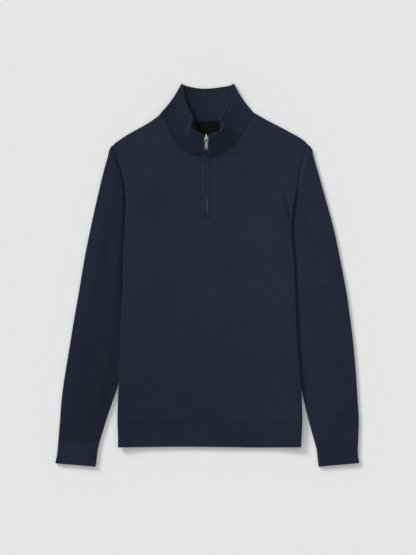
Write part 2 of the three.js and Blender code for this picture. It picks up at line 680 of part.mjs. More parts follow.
// Frame on the zip line at a distance from its foot: its (x, height) gives a point beside it
function zipFrame(distance) {
  const u = THREE.MathUtils.clamp(distance / ZIP_LENGTH, 0, 1);
  const origin = ZIP_LINE.getPointAt(u);
  const slope = ZIP_LINE.getTangentAt(u);
  const out = new THREE.Vector3(0, -slope.z, slope.y).normalize();
  return (x, height) => new THREE.Vector3(x, 0, 0).add(origin).addScaledVector(out, height);
}

const CHAIN_WIDTH = 4.4;
const CHAIN_TOP = -1.05; // the teeth lie this far below the outer face
const CHAIN_THICK = 1.6;
const SLIDER_LENGTH = 11;
const SLIDER_WIDTH = 8.2;
const CLOSED_GAP = 0.35; // from the zip's centre line to each strip where the strips meet
const SLIDER_GAP = SLIDER_WIDTH / 2 + 0.5;
// The strips' gap along the zip: a little open over the lowest teeth, and wide round the slider
const SLIT_GAPS = [
  { at: 0, gap: 0.4 },
  { at: 7, gap: 0.6 },
  { at: 14, gap: 1.5 },
  { at: 40, gap: 1.2 },
  { at: 50, gap: CLOSED_GAP },
  { at: 100, gap: CLOSED_GAP },
  { at: ZIP_LENGTH - SLIDER_LENGTH - 8, gap: 0.4 },
  { at: ZIP_LENGTH - SLIDER_LENGTH - 2.5, gap: SLIDER_GAP },
  { at: ZIP_LENGTH, gap: SLIDER_GAP },
];
// Across a strip from its seam to the zip: share of its width, height over the panel's face
const STRIP_PROFILE = [
  { share: 0, lift: 0 },
  { share: 0.6, lift: 0.85 },
  { share: 1, lift: 0.95 },
];

// Knit strip beside the zip: level with the panel at its outer edge, lifted over the teeth inside
function zipStrip(side) {
  const gapAt = tableCurve(SLIT_GAPS, 'at', 'gap');
  const grid = [];
  const steps = 20;
  const foot = 3 * SEAM; // clear of the slit's lower edge, which the panel's seam gap moves up
  for (let s = 0; s <= steps; s += 1) {
    const distance = mix(foot, ZIP_LENGTH, s / steps);
    const place = zipFrame(distance);
    const gap = THREE.MathUtils.clamp(gapAt(distance), CLOSED_GAP, SLIDER_GAP);
    const atSlider = ramp(2.1, SLIDER_GAP, gap); // the lift goes where the slider comes between
    const row = STRIP_PROFILE.map(({ share, lift }) => {
      const x = mix(STRIP_WIDTH, gap, share);
      return place(side * x, mix(lift, 0, atSlider) - KNIT / 2);
    });
    grid.push(side < 0 ? row : row.reverse());
  }
  return thickSheet(grid, KNIT);
}

function zipTeeth() {
  const grid = [];
  const from = TEETH_FOOT_Y - ZIP_FOOT_Y;
  const to = ZIP_LENGTH - SLIDER_LENGTH + 3.5;
  const steps = 18;
  for (let s = 0; s <= steps; s += 1) {
    const place = zipFrame(mix(from, to, s / steps));
    const middle = CHAIN_TOP - CHAIN_THICK / 2;
    grid.push([-0.5, 0, 0.5].map((share) => place(share * CHAIN_WIDTH, middle)));
  }
  return thickSheet(grid, CHAIN_THICK);
}

// Slider and pull, drawn flat with Y along the zip (0 at the slider's crown) and Z outward
const PLATE_TOP = 1;
const PLATE_THICK = 1.2;
const BACK_PLATE_TOP = CHAIN_TOP - CHAIN_THICK - SEAM;
const BACK_PLATE_THICK = 1;
const BAIL_WIDTH = 1.8;
const PIVOT_Y = -8.4;
const PIN_RADIUS = 0.6;
const PIVOT_Z = PLATE_TOP + SEAM + PIN_RADIUS;
const PULL_LENGTH = 22.8;
const PULL_HEAD = 3.9; // half widths of the pull at its eye, its waist and its round end
const PULL_WAIST = 2.1;
const PULL_END = 3.3;
const PULL_THICK = 1.2;
const EYE_HALF_WIDTH = 1.5;
const EYE_LENGTH = 5.6;
const END_HOLE_RADIUS = 1.8;

function extrude(shape, from, depth, curveSegments = 5) {
  const geometry = new THREE.ExtrudeGeometry(shape, { depth, bevelEnabled: false, curveSegments });
  return geometry.translate(0, 0, from);
}

// Pointed crown, shoulders and rounded tail of the slider's plates
function plateShape(halfWidth) {
  const shape = new THREE.Shape();
  shape.moveTo(0, 0);
  shape.quadraticCurveTo(halfWidth * 0.3, -0.6, halfWidth * 0.5, -2.6);
  shape.quadraticCurveTo(halfWidth * 0.6, -4.6, halfWidth, -6.4);
  shape.lineTo(halfWidth * 0.84, -SLIDER_LENGTH + 1.4);
  shape.quadraticCurveTo(halfWidth * 0.8, -SLIDER_LENGTH, halfWidth * 0.5, -SLIDER_LENGTH);
  shape.lineTo(-halfWidth * 0.5, -SLIDER_LENGTH);
  shape.quadraticCurveTo(
    -halfWidth * 0.8, -SLIDER_LENGTH, -halfWidth * 0.84, -SLIDER_LENGTH + 1.4,
  );
  shape.lineTo(-halfWidth, -6.4);
  shape.quadraticCurveTo(-halfWidth * 0.6, -4.6, -halfWidth * 0.5, -2.6);
  shape.quadraticCurveTo(-halfWidth * 0.3, -0.6, 0, 0);
  return shape;
}

function slider() {
  const half = SLIDER_WIDTH / 2;
  const front = extrude(plateShape(half), PLATE_TOP - PLATE_THICK, PLATE_THICK);
  const backPlate = plateShape(half * 0.94);
  const back = extrude(backPlate, BACK_PLATE_TOP - BACK_PLATE_THICK, BACK_PLATE_THICK);
  const wedgeShape = new THREE.Shape();
  wedgeShape.moveTo(0, -1.2);
  wedgeShape.lineTo(1.4, -2.8);
  wedgeShape.lineTo(0, -6);
  wedgeShape.lineTo(-1.4, -2.8);
  const wedge = extrude(wedgeShape, BACK_PLATE_TOP - 0.5, PLATE_TOP - BACK_PLATE_TOP);
  const arch = new THREE.Shape();
  arch.moveTo(-10.6, PLATE_TOP - 0.5);
  arch.lineTo(-10.6, PLATE_TOP + 1.6);
  arch.quadraticCurveTo(-10.4, PLATE_TOP + 2.9, -8.6, PLATE_TOP + 2.9);
  arch.lineTo(-6.4, PLATE_TOP + 2.9);
  arch.quadraticCurveTo(-4.6, PLATE_TOP + 2.6, -3.6, PLATE_TOP - 0.5);
  const window = new THREE.Path();
  window.moveTo(-9.6, PLATE_TOP);
  window.lineTo(-5.2, PLATE_TOP);
  window.quadraticCurveTo(-5.4, PLATE_TOP + 1.9, -6.8, PLATE_TOP + 1.9);
  window.lineTo(-8.8, PLATE_TOP + 1.9);
  window.quadraticCurveTo(-9.6, PLATE_TOP + 1.9, -9.6, PLATE_TOP + 1.3);
  arch.holes.push(window);
  const bail = extrude(arch, -BAIL_WIDTH / 2, BAIL_WIDTH);
  bail.applyMatrix4(new THREE.Matrix4().makeBasis(
    new THREE.Vector3(0, 1, 0),
    new THREE.Vector3(0, 0, 1),
    new THREE.Vector3(1, 0, 0),
  ));
  return fromSolid([back, wedge, bail].reduce((all, one) => all.add(toSolid(one)), toSolid(front)));
}

// Pull drawn with its pin on the origin: an eye round the slider's bail, a waist and a round end
function pullTab() {
  const crown = 1.6;
  const waistY = -9.4;
  const shape = new THREE.Shape();
  shape.moveTo(-crown, PIN_RADIUS);
  shape.lineTo(crown, PIN_RADIUS);
  shape.quadraticCurveTo(PULL_HEAD, PIN_RADIUS, PULL_HEAD, -2.4);
  shape.lineTo(PULL_HEAD, -3.8);
  shape.quadraticCurveTo(PULL_HEAD, -6.6, PULL_WAIST, waistY);
  shape.quadraticCurveTo(PULL_END, -11.2, PULL_END, -13.4);
  shape.lineTo(PULL_END, -PULL_LENGTH + PULL_END);
  shape.absarc(0, -PULL_LENGTH + PULL_END, PULL_END, 0, -Math.PI, true);
  shape.lineTo(-PULL_END, -13.4);
  shape.quadraticCurveTo(-PULL_END, -11.2, -PULL_WAIST, waistY);
  shape.quadraticCurveTo(-PULL_HEAD, -6.6, -PULL_HEAD, -3.8);
  shape.lineTo(-PULL_HEAD, -2.4);
  shape.quadraticCurveTo(-PULL_HEAD, PIN_RADIUS, -crown, PIN_RADIUS);
  const eye = new THREE.Path();
  eye.moveTo(EYE_HALF_WIDTH, -PIN_RADIUS);
  eye.lineTo(-EYE_HALF_WIDTH, -PIN_RADIUS);
  eye.lineTo(-EYE_HALF_WIDTH, -EYE_LENGTH + 1);
  eye.quadraticCurveTo(-EYE_HALF_WIDTH, -EYE_LENGTH, 0, -EYE_LENGTH);
  eye.quadraticCurveTo(EYE_HALF_WIDTH, -EYE_LENGTH, EYE_HALF_WIDTH, -EYE_LENGTH + 1);
  shape.holes.push(eye);
  const endHole = new THREE.CylinderGeometry(END_HOLE_RADIUS, END_HOLE_RADIUS, 2 * PULL_THICK, 14);
  endHole.rotateX(Math.PI / 2);
  endHole.translate(0, -PULL_LENGTH + PULL_END, 0);
  const tab = toSolid(extrude(shape, -PULL_THICK / 2, PULL_THICK, 6));
  return fromSolid(tab.subtract(toSolid(endHole)));
}

// Place a drawn piece on the zip line, its drawing's origin at a distance below the collar's top
function onZip(mesh, y, height) {
  const foot = zipFrame(ZIP_LENGTH - 14)(0, 0);
  const head = zipFrame(ZIP_LENGTH - 1)(0, 0);
  const slope = head.clone().sub(foot).normalize();
  const out = new THREE.Vector3(0, -slope.z, slope.y);
  mesh.rotation.x = Math.atan2(slope.z, slope.y);
  mesh.position.copy(head).addScaledVector(slope, y).addScaledVector(out, height);
  return mesh;
}

// Label on the inside of the back panel, under the back neck seam
const LABEL_LEFT = -23.4;
const LABEL_TOP = 315.4;
const LABEL_WIDTH = 47;
const LABEL_HEIGHT = 42;
const LABEL_THICK = 0.6;

function neckLabel() {
  const z = KNIT + SEAM + LABEL_THICK / 2;
  const grid = [];
  for (const up of [0, 0.25, 0.5, 0.75, 1]) {
    const y = LABEL_TOP - LABEL_HEIGHT * (1 - up);
    const across = [0, 1 / 3, 2 / 3, 1];
    grid.push(across.map((share) => new THREE.Vector3(LABEL_LEFT + LABEL_WIDTH * share, y, z)));
  }
  return thickSheet(grid, LABEL_THICK);
}

// Assembly
const sweater = new THREE.Group();

function add(name, geometry, colour, roughness = 0.9, metalness = 0) {
  geometry.computeVertexNormals();
  const material = new THREE.MeshStandardMaterial({ color: colour, roughness, metalness });
  const mesh = new THREE.Mesh(geometry, material);
  mesh.name = name;
  sweater.add(mesh);
  return mesh;
}

add('front_panel', bodyPanel(true), COLOURS.knit);
add('back_panel', bodyPanel(false), COLOURS.knit);
add('hem_band_front', hemBand(true), COLOURS.rib);
add('hem_band_back', hemBand(false), COLOURS.rib);

const sleeveEnds = { start: 0, finish: SEAM / 2 };
const cuffEnds = { start: SEAM / 2, finish: 0, thin: true };
const bowLeft = armholeBow(SLEEVE_LEFT, -1);
const bowRight = armholeBow(SLEEVE_RIGHT, 1);
add('sleeve_left', tube(SLEEVE_LEFT, -1, KNIT, 26, sleeveEnds, bowLeft), COLOURS.knit);
add('sleeve_right', tube(SLEEVE_RIGHT, 1, KNIT, 26, sleeveEnds, bowRight), COLOURS.knit);
add('cuff_left', tube(CUFF_LEFT, -1, RIB, 5, cuffEnds), COLOURS.rib);
add('cuff_right', tube(CUFF_RIGHT, 1, RIB, 5, cuffEnds), COLOURS.rib);

add('collar', collar(), COLOURS.collar);
add('neck_label', neckLabel(), COLOURS.label, 0.6);
add('zip_strip_left', zipStrip(-1), COLOURS.strip);
add('zip_strip_right', zipStrip(1), COLOURS.strip);
add('zip_teeth', zipTeeth(), COLOURS.metal, 0.35, 1);
onZip(add('zip_slider', slider(), COLOURS.metal, 0.3, 1), 0, 0);
onZip(add('pull_tab', pullTab(), COLOURS.metal, 0.3, 1), PIVOT_Y, PIVOT_Z);

export default sweater;
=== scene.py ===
"""Quarter zip sweater in fine navy knit, laid flat on its back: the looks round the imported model.

The tables below are in millimetres, as in the model's own source, and meshes are in metres.
"""
import math

import bmesh
import bpy
import numpy as np
from mathutils import Matrix, Vector, noise


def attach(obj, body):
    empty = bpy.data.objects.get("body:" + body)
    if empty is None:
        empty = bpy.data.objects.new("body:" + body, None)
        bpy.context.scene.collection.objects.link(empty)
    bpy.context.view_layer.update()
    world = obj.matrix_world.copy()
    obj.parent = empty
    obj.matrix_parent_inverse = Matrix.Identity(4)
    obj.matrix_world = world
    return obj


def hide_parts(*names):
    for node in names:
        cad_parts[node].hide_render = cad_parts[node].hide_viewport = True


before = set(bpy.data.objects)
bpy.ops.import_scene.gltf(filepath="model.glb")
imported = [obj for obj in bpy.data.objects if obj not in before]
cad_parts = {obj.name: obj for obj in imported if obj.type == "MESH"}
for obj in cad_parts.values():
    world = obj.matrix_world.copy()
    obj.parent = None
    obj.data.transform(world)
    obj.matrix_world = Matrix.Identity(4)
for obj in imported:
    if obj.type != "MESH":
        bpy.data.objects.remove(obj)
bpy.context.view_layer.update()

MM = 0.001

# Walls and layers
KNIT = 1.6
RIB = 2.0
COLLAR_WALL = 3.0
LOFT = 1.5
SEAM = 0.3
CUFF_LINE_Y = -341.0
HEM_LINE_Y = -304.4
HEM_DEPTH = 48.4
BORDER = 0.728  # share of a band's depth where its fuller border starts
ZIP_X = -1.8
ZIP_FOOT_Y = 119.0
STRIP_WIDTH = 9.4
TEETH_FOOT_Y = 127.5
UNDER_Z = KNIT / 2
OVER_Z = KNIT * 1.5 + LOFT
FOLD_RADIUS = (OVER_Z - UNDER_Z) / 2
FOLD_Z = (OVER_Z + UNDER_Z) / 2
OUTER_Z = OVER_Z + KNIT / 2
LAP_RISE = OUTER_Z + 0.4
LAP_SLOPE = 105.0
LAP_TOP = {-1: 172.0, 1: 176.0}
LAP_LENGTH = 20.0
LAP_SPILL = 52.0
SHOULDER_STRETCH = 1.22

# Side edges of the body: y, left x, right x
BODY_EDGES = np.array([
    (-353.6, -182.8, 192.2), (-330, -183, 193.4), (-297, -184, 194.8), (-256, -183, 193.8),
    (-209, -180.4, 191.2), (-157, -179, 186.6), (-106, -177.4, 183.4), (-28, -172.8, 180.6),
    (30, -172, 178.4), (64, -170.6, 175), (99, -168, 171.8), (136, -166, 177), (154, -166, 180),
    (182, -169.8, 184), (216, -177, 188.4), (245, -186, 197), (272, -192.3, 204.8),
])
# Shoulder lines and necklines: x, y
SHOULDER_LEFT = np.array([
    (-192.3, 269), (-181, 276.6), (-169.3, 284.8), (-155.2, 293.2), (-139.8, 301.6),
    (-125, 309.8), (-112.5, 318), (-101.5, 326), (-95, 331.6),
])
SHOULDER_RIGHT = np.array([
    (92.6, 334.2), (98.6, 331.6), (108, 326.6), (123, 318), (139, 309.8), (154.8, 301.6),
    (169.7, 293.4), (185.5, 285), (197.6, 276.8), (204.8, 270.8),
])
FRONT_NECK = np.array([
    (-95, 331.6), (-85, 314), (-74.6, 289), (-62, 268), (-41, 251), (-24, 244.6), (-1.8, 242.4),
    (9, 243), (24, 247), (42.6, 257.7), (61.3, 276.5), (76, 297.5), (85.5, 319), (92.6, 334.2),
])
BACK_NECK = np.array([
    (-95, 331.6), (-80, 326.5), (-55, 320.5), (-28, 317.4), (0, 316.6), (28, 317.8),
    (55, 321.4), (78, 327.6), (92.6, 334.2),
])
# Sleeve sections: outer x, outer y, underarm x, underarm y, share of the cap's bow
SLEEVES = {
    -1: np.array([
        (-191.6, 268.2, -166.4, 152, 1), (-197.8, 263.8, -166.2, 147.6, 0.96),
        (-201.4, 257, -165.8, 138.4, 0.88), (-204.2, 244, -165, 124, 0.72),
        (-212, 215.7, -163.5, 95, 0.45), (-226.6, 154, -162, 50, 0.2),
        (-240, 92.7, -161, 5, 0), (-252.4, 31, -161.5, -40, 0), (-262.6, -30, -163.5, -86, 0),
        (-273.5, -92, -167.5, -134, 0), (-283.5, -153, -174, -182, 0),
        (-293.6, -215, -183, -224, 0), (-299, -256, -194.3, -259, 0),
        (-302, -297, -207.3, -297, 0), (-305.7, CUFF_LINE_Y, -220.8, CUFF_LINE_Y, 0),
    ]),
    1: np.array([
        (204.6, 270, 180.2, 152, 1), (211.6, 265, 178.8, 147.6, 0.96),
        (215.8, 257.6, 176.8, 138.4, 0.88), (218.6, 244, 173.4, 124, 0.72),
        (226.4, 215.7, 167.4, 95, 0.45), (243.6, 154, 166, 50, 0.2), (260, 92.7, 166, 5, 0), (273, 31, 167.6, -40, 0),
        (284.7, -30, 170.4, -86, 0), (293.8, -92, 175, -134, 0), (301, -153, 181.6, -182, 0),
        (306, -215, 191.4, -224, 0), (308.5, -256, 199, -259, 0), (311, -297, 208, -297, 0),
        (309.8, CUFF_LINE_Y, 220, CUFF_LINE_Y, 0),
    ]),
}
CUFFS = {
    -1: np.array([
        (-305.7, CUFF_LINE_Y, -220.8, CUFF_LINE_Y, 0), (-306.8, -356, -224.6, -358, 0),
        (-308.8, -371, -226.8, -375, 0), (-311.4, -385.6, -229.4, -392.4, 0),
    ]),
    1: np.array([
        (309.8, CUFF_LINE_Y, 220, CUFF_LINE_Y, 0), (308.9, -356, 224.6, -358, 0),
        (309.4, -371, 226.4, -375, 0), (311.4, -385.2, 228.6, -392.4, 0),
    ]),
}
# Collar stations: seam x, top x, top y, top z on the front; seam x, top x, top y on the back
COLLAR_FRONT = {
    -1: np.array([
        (-11.6, -11.6, 287.8, 20.6), (-24, -21.4, 291.6, 21.4), (-41, -31.2, 298.8, 21.4),
        (-56, -32.4, 308.4, 20), (-68, -28.4, 318.6, 18), (-78, -34, 331, 15),
        (-86, -40.6, 346, 11.4), (-91, -46.6, 364.6, 8),
    ]),
    1: np.array([
        (8, 8, 287.8, 20.6), (22, 19.4, 292, 21.4), (38, 29.8, 299, 21.2),
        (54, 32, 309, 19.6), (66, 27.2, 319.6, 17.6), (76, 31.8, 332.4, 14.6),
        (83, 38.2, 347, 11.2), (88, 45, 364.4, 8),
    ]),
}
COLLAR_BACK = np.array([
    (-80, -40, 387.8), (-52, -25, 384.4), (-25, -11, 382.8), (0, 1, 382.9), (26, 14, 383.9),
    (52, 28, 385.8), (76, 43, 388.2),
])
# Fold at the side of the neck: seam x, seam y, tip x, tip y
NECK_FOLD = {-1: (-95.2, 333.2, -52.9, 393), 1: (93.4, 335.9, 54.9, 393)}
NECK_FOLD_RADIUS = 2.0
NECK_FOLD_BOW = 2.9
UNDER_NECK_Z = 2.3  # height of the seam allowance inside the neckline
FOLD_FOOT = 0.03  # the fold's base reaches this share of its length into the shoulder
COLLAR_SEAM_Z = 3.8
# The collar's front from seam to top edge: share of its width, and of its rise at the zip and beside it
COLLAR_PROFILE = np.array([
    (0, 0, 0), (0.045, 0.035, 0.012), (0.1, 0.15, 0.035), (0.18, 0.3, 0.08), (0.38, 0.47, 0.24),
    (0.6, 0.66, 0.5), (0.82, 0.85, 0.81), (1, 1, 1),
])
COLLAR_LOW_FROM = 12.0  # distances from the zip between which the collar comes to lie low
COLLAR_LOW_TO = 36.0
# Creases of the upper layer: x and y of both ends, width, height
BODY_CREASES = [
    (158, 150, 120, 196, 9, 0.5), (164, 112, 118, 128, 11, 0.5), (-154, 132, -112, 184, 11, 0.4),
    (161.5, 157, 169.5, 117, 3.4, -3.2),
    (-146, -40, -96, -22, 16, 0.7), (150, -176, 84, -196, 17, 0.8), (-60, 222, -104, 262, 14, 0.8),
    (66, 224, 108, 258, 14, 0.7),
]
SLEEVE_CREASES = [
    (-197, 226, -205, 128, 7, -0.7), (-205, 128, -203, 0, 7, -0.6), (-262, -4, -226, -24, 9, 1.0),
    (282, 2, 240, -20, 9, 1.0), (214, 214, 204, 104, 8, -0.6), (300, -262, 262, -282, 9, 0.8),
    (-292, -248, -252, -270, 9, 0.8),
    (-168.5, 150, -174.5, -20, 3, -1.1), (-174.5, -20, -182, -205, 3, -1.1),
    (182, 150, 183, -20, 3, -0.5), (183, -20, 193.5, -205, 3, -0.8),
]


def curve(keys, values):
    """Smooth curve through a table, as a function that takes arrays."""
    order = np.argsort(keys)
    k, v = np.asarray(keys, float)[order], np.asarray(values, float)[order]
    after = np.minimum(np.arange(len(k)) + 1, len(k) - 1)
    before = np.maximum(np.arange(len(k)) - 1, 0)
    slopes = (v[after] - v[before]) / (k[after] - k[before])

    def at(t):
        t = np.clip(np.asarray(t, float), k[0], k[-1])
        i = np.clip(np.searchsorted(k, t, side="right") - 1, 0, len(k) - 2)
        span = k[i + 1] - k[i]
        s = (t - k[i]) / span
        rest = 2 * s**3 - 3 * s**2 + 1
        bend = (s**3 - 2 * s**2 + s) * span * slopes[i] + (s**3 - s**2) * span * slopes[i + 1]
        return rest * v[i] + (1 - rest) * v[i + 1] + bend

    return at


def ramp(low, high, t):
    s = np.clip((np.asarray(t, float) - low) / (high - low), 0, 1)
    return s * s * (3 - 2 * s)


def mix(a, b, t):
    return a + (b - a) * t


body_edge = {
    -1: curve(BODY_EDGES[:, 0], BODY_EDGES[:, 1]),
    1: curve(BODY_EDGES[:, 0], BODY_EDGES[:, 2]),
}
underarm = {side: curve(rows[:, 3], rows[:, 2]) for side, rows in SLEEVES.items()}
shoulder_left = curve(*SHOULDER_LEFT.T)
shoulder_right = curve(*SHOULDER_RIGHT.T)
front_neck = curve(*FRONT_NECK.T)
back_neck = curve(*BACK_NECK.T)
CHEST = {side: float(edge(272)) for side, edge in body_edge.items()}


def waviness(x, y, size, seed):
    """Slow unevenness of cloth that lies free, about -1 to 1."""
    flat_x, flat_y = np.ravel(x), np.ravel(y)
    values = [
        noise.noise(Vector((a / size, b / size, seed))) for a, b in zip(flat_x, flat_y)
    ]
    return np.reshape(values, np.shape(x)) * 1.6


def crease_height(rows, x, y):
    height = np.zeros(np.shape(x))
    for x0, y0, x1, y1, width, rise in rows:
        dx, dy = x1 - x0, y1 - y0
        length = math.hypot(dx, dy)
        along = ((x - x0) * dx + (y - y0) * dy) / length
        across = ((x - x0) * dy - (y - y0) * dx) / length
        past = np.maximum(0, np.maximum(-along, along - length)) / (width * 1.6)
        height += rise * np.exp(-((across / width) ** 2) - past**2)
    return height


def lap(x, y):
    """Rise of the body's sides over the sleeves tucked under them."""
    share = np.zeros(np.broadcast(x, y).shape)
    for side in (-1, 1):
        top = LAP_TOP[side]
        beside = ramp(-LAP_SLOPE, -0.5, side * (x - underarm[side](y)))
        share = np.maximum(share, (1 - ramp(top - LAP_LENGTH, top + LAP_SPILL, y)) * beside)
    return LAP_RISE * share


def body_relief(x, y):
    """What the upper layer of the body adds to its level height."""
    return crease_height(BODY_CREASES, x, y) + 0.3 * waviness(x, y, 62, 3.1) + 0.12 * waviness(x, y, 24, 8.7)


# Meshes
def cloth(name, points, knit_uv, wall, ring=False, skip=None):
    """Closed shell from a grid of points in mm on the middle of a wall.

    wall is one number or one for each row and column, skip marks cells that are left out, and
    knit_uv gives across and along the knit in mm, for the stitches of the material.
    """
    p = np.asarray(points, float)
    rows, columns = p.shape[:2]
    if ring:
        across = np.roll(p, -1, axis=1) - np.roll(p, 1, axis=1)
    else:
        across = np.gradient(p, axis=1, edge_order=2)
    along = np.gradient(p, axis=0)
    across /= np.linalg.norm(across, axis=2, keepdims=True)
    along /= np.linalg.norm(along, axis=2, keepdims=True)
    normal = np.cross(across, along)
    normal /= np.linalg.norm(normal, axis=2, keepdims=True)
    half_wall = np.broadcast_to(np.asarray(wall, float), (rows, columns))[..., None] / 2
    outer, inner = p + normal * half_wall, p - normal * half_wall
    outer[..., 2] = np.maximum(outer[..., 2], 0)
    inner[..., 2] = np.maximum(inner[..., 2], 0)
    vertices = np.concatenate([outer.reshape(-1, 3), inner.reshape(-1, 3)]) * MM
    half = rows * columns
    cells = columns if ring else columns - 1
    open_cell = np.zeros((rows - 1, cells), bool) if skip is None else skip

    def has(r, c):
        if r < 0 or r >= rows - 1 or (not ring and (c < 0 or c >= cells)):
            return False
        return not open_cell[r, c % cells]

    faces = []
    for r in range(rows - 1):
        for c in range(cells):
            if not has(r, c):
                continue
            n = (c + 1) % columns
            a, b = r * columns + c, r * columns + n
            d, e = a + columns, b + columns
            faces.append((a, b, e, d))
            faces.append((half + a, half + d, half + e, half + b))
            if not has(r - 1, c):
                faces.append((half + a, half + b, b, a))
            if not has(r + 1, c):
                faces.append((half + e, half + d, d, e))
            if not has(r, c - 1):
                faces.append((half + d, half + a, a, d))
            if not has(r, c + 1):
                faces.append((half + b, half + e, e, b))
    mesh = bpy.data.meshes.new(name)
    mesh.from_pydata(vertices.tolist(), [], faces)
    uv = np.concatenate([np.asarray(knit_uv, float).reshape(-1, 2)] * 2)
    layer = mesh.uv_layers.new(name="knit")
    loops = np.empty(len(mesh.loops), np.int32)
    mesh.loops.foreach_get("vertex_index", loops)
    layer.data.foreach_set("uv", uv[loops].ravel())
    loose = bmesh.new()
    loose.from_mesh(mesh)
    bmesh.ops.delete(loose, geom=[v for v in loose.verts if not v.link_faces], context="VERTS")
    loose.to_mesh(mesh)
    loose.free()
    mesh.shade_smooth()
    obj = bpy.data.objects.new(name, mesh)
    bpy.context.collection.objects.link(obj)
    return obj


def soften_rims(obj, width):
    """Round the cut edges of a shell."""
    bevel = obj.modifiers.new("rims", "BEVEL")
    bevel.width = width * MM
    bevel.segments = 3
    bevel.limit_method = "ANGLE"
    bevel.angle_limit = math.radians(50)
    bevel.harden_normals = False
    apply_modifiers(obj)


def apply_modifiers(obj):
    shown = obj.evaluated_get(bpy.context.evaluated_depsgraph_get())
    mesh = bpy.data.meshes.new_from_object(shown)
    old = obj.data
    obj.modifiers.clear()
    obj.data = mesh
    mesh.name = obj.name
    bpy.data.meshes.remove(old)
    mesh.shade_smooth()


# Body panels and hem bands
def body_columns(over, spacing):
    """Chest-level x of each column and how it follows the side edges.

    Returns rows of (chest x, kind, value): fold columns carry the angle round the side fold, edge
    columns the distance from the side, and the others their share of the width between.
    """
    edge_steps = [2.5, 4, 6, 8.5, 11, 13.5, 16, 18.5, 21.5, 25, 29, 33]
    angles = np.radians([0, 15, 30, 45, 60, 75, 90])
    inner = edge_steps[-1]
    low, high = CHEST[-1] + inner, CHEST[1] - inner
    middles = list(np.arange(low + spacing, high - spacing / 2, spacing))
    if over:
        steep = list(np.arange(-98, -72, 1.1)) + list(np.arange(70, 95, 1.1))
        middles = [x for x in middles if not (-99 < x < -71 or 69 < x < 96)] + steep
        slot = [ZIP_X - STRIP_WIDTH - SEAM, ZIP_X, ZIP_X + STRIP_WIDTH + SEAM]
        middles = [x for x in middles if min(abs(x - s) for s in slot) > 1.5] + slot
    columns = [(CHEST[-1], "fold", a, -1) for a in angles]
    columns += [(CHEST[-1] + s, "edge", s, -1) for s in edge_steps]
    columns += [(x, "share", (x - low) / (high - low), 0) for x in sorted(middles)]
    columns += [(CHEST[1] - s, "edge", s, 1) for s in reversed(edge_steps)]
    columns += [(CHEST[1], "fold", a, 1) for a in reversed(angles)]
    return columns, inner


def panel_points(over, wall, columns, inner, y, turn=None, relief=True):
    """Points of one row. y holds the height of each column, turn the angle round the shoulder."""
    sign = 1 if over else -1
    flat = OVER_Z + (wall - KNIT) / 2 if over else wall / 2
    radius = abs(flat - FOLD_Z)
    x = np.empty(len(columns))
    fold_share = np.zeros(len(columns))
    angle = np.full(len(columns), math.pi / 2)
    for i, (chest_x, kind, value, side) in enumerate(columns):
        if kind == "fold":
            fold_share[i] = 1 - ramp(LAP_TOP[side] - 14, LAP_TOP[side], y[i])
            inset = mix(SEAM / 2, wall / 2, fold_share[i]) + radius * (1 - math.cos(value))
            x[i] = body_edge[side](y[i]) - side * inset
            angle[i] = value
        elif kind == "edge":
            x[i] = body_edge[side](y[i]) - side * value
        else:
            follows = ramp(STRIP_WIDTH + 1, 70, abs(chest_x - ZIP_X))
            shared = mix(body_edge[-1](y[i]) + inner, body_edge[1](y[i]) - inner, value)
            x[i] = mix(chest_x, shared, follows)
    rise = lap(x, y)
    level = flat + rise
    if over and relief:
        level = level + body_relief(x, y) * (1 - fold_share)
    z = mix(level, FOLD_Z + rise + sign * (radius * np.sin(angle) + SEAM / 2), fold_share)
    if turn is not None:
        turned, held = turn
        shoulder = FOLD_Z + sign * (radius * math.sin(turned) + SEAM / 2)
        lower = np.abs(shoulder - FOLD_Z) < np.abs(z - FOLD_Z)
        z = np.where(held & lower, shoulder, z)
    return np.stack([x, y, z], axis=1)


def body_panel(name, over):
    spacing = 8.0 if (not over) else 4.0
    columns, inner = body_columns(over, spacing)
    chest_x = np.array([c[0] for c in columns])
    neck = front_neck if over else back_neck
    on_left = chest_x < SHOULDER_LEFT[-1, 0] + 0.8
    on_right = chest_x > SHOULDER_RIGHT[0, 0] - 0.8
    top = np.where(on_left, shoulder_left(chest_x), neck(chest_x) - SEAM / 2)
    top = np.where(on_right, shoulder_right(chest_x), top)
    held = on_left | on_right
    reach = (KNIT / 2 + FOLD_RADIUS) * SHOULDER_STRETCH
    low = HEM_LINE_Y + SEAM / 2
    step = 9.0 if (not over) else 4.5
    shares = np.linspace(0, 1, int(570 / step))
    foot_share = (ZIP_FOOT_Y - low) / (front_neck(ZIP_X) - SEAM / 2 - reach - low)
    foot_row = int(np.argmin(np.abs(shares - foot_share)))
    shares[foot_row] = foot_share
    rows = [panel_points(over, KNIT, columns, inner, mix(low, top - reach, s)) for s in shares]
    for angle in np.radians([78, 64, 50, 38, 26, 13, 0]):
        inset = KNIT / 2 + FOLD_RADIUS * (1 - math.cos(angle))
        y = top - SHOULDER_STRETCH * np.where(held, inset, inset - KNIT / 2)
        rows.append(panel_points(over, KNIT, columns, inner, y, (angle, held)))
    points = np.array(rows)
    skip = None
    if over:
        slot = [i for i, x in enumerate(chest_x) if abs(x - ZIP_X) <= STRIP_WIDTH + SEAM + 1e-6]
        skip = np.zeros((len(rows) - 1, len(columns) - 1), bool)
        skip[foot_row:, slot[0]:slot[-1]] = True
    else:
        points = points[:, ::-1]
    return cloth(name, points, points[..., :2], KNIT, skip=skip)


hem_bow = curve(
    [-190, -120, -60, 0, 52, 100, 140, 175, 200], [0.1, 0.7, 1.2, 0.9, 0.45, -0.3, -0.35, 0.25, 0.3]
)
HEM_SHARES = (
    1, 0.995, 0.98, 0.95, 0.9, 0.85, 0.8, 0.775, 0.755, 0.74, 0.728, 0.716, 0.7, 0.68, 0.64, 0.55,
    0.45, 0.35, 0.2, 0.1, 0.05, 0.02, 0,
)


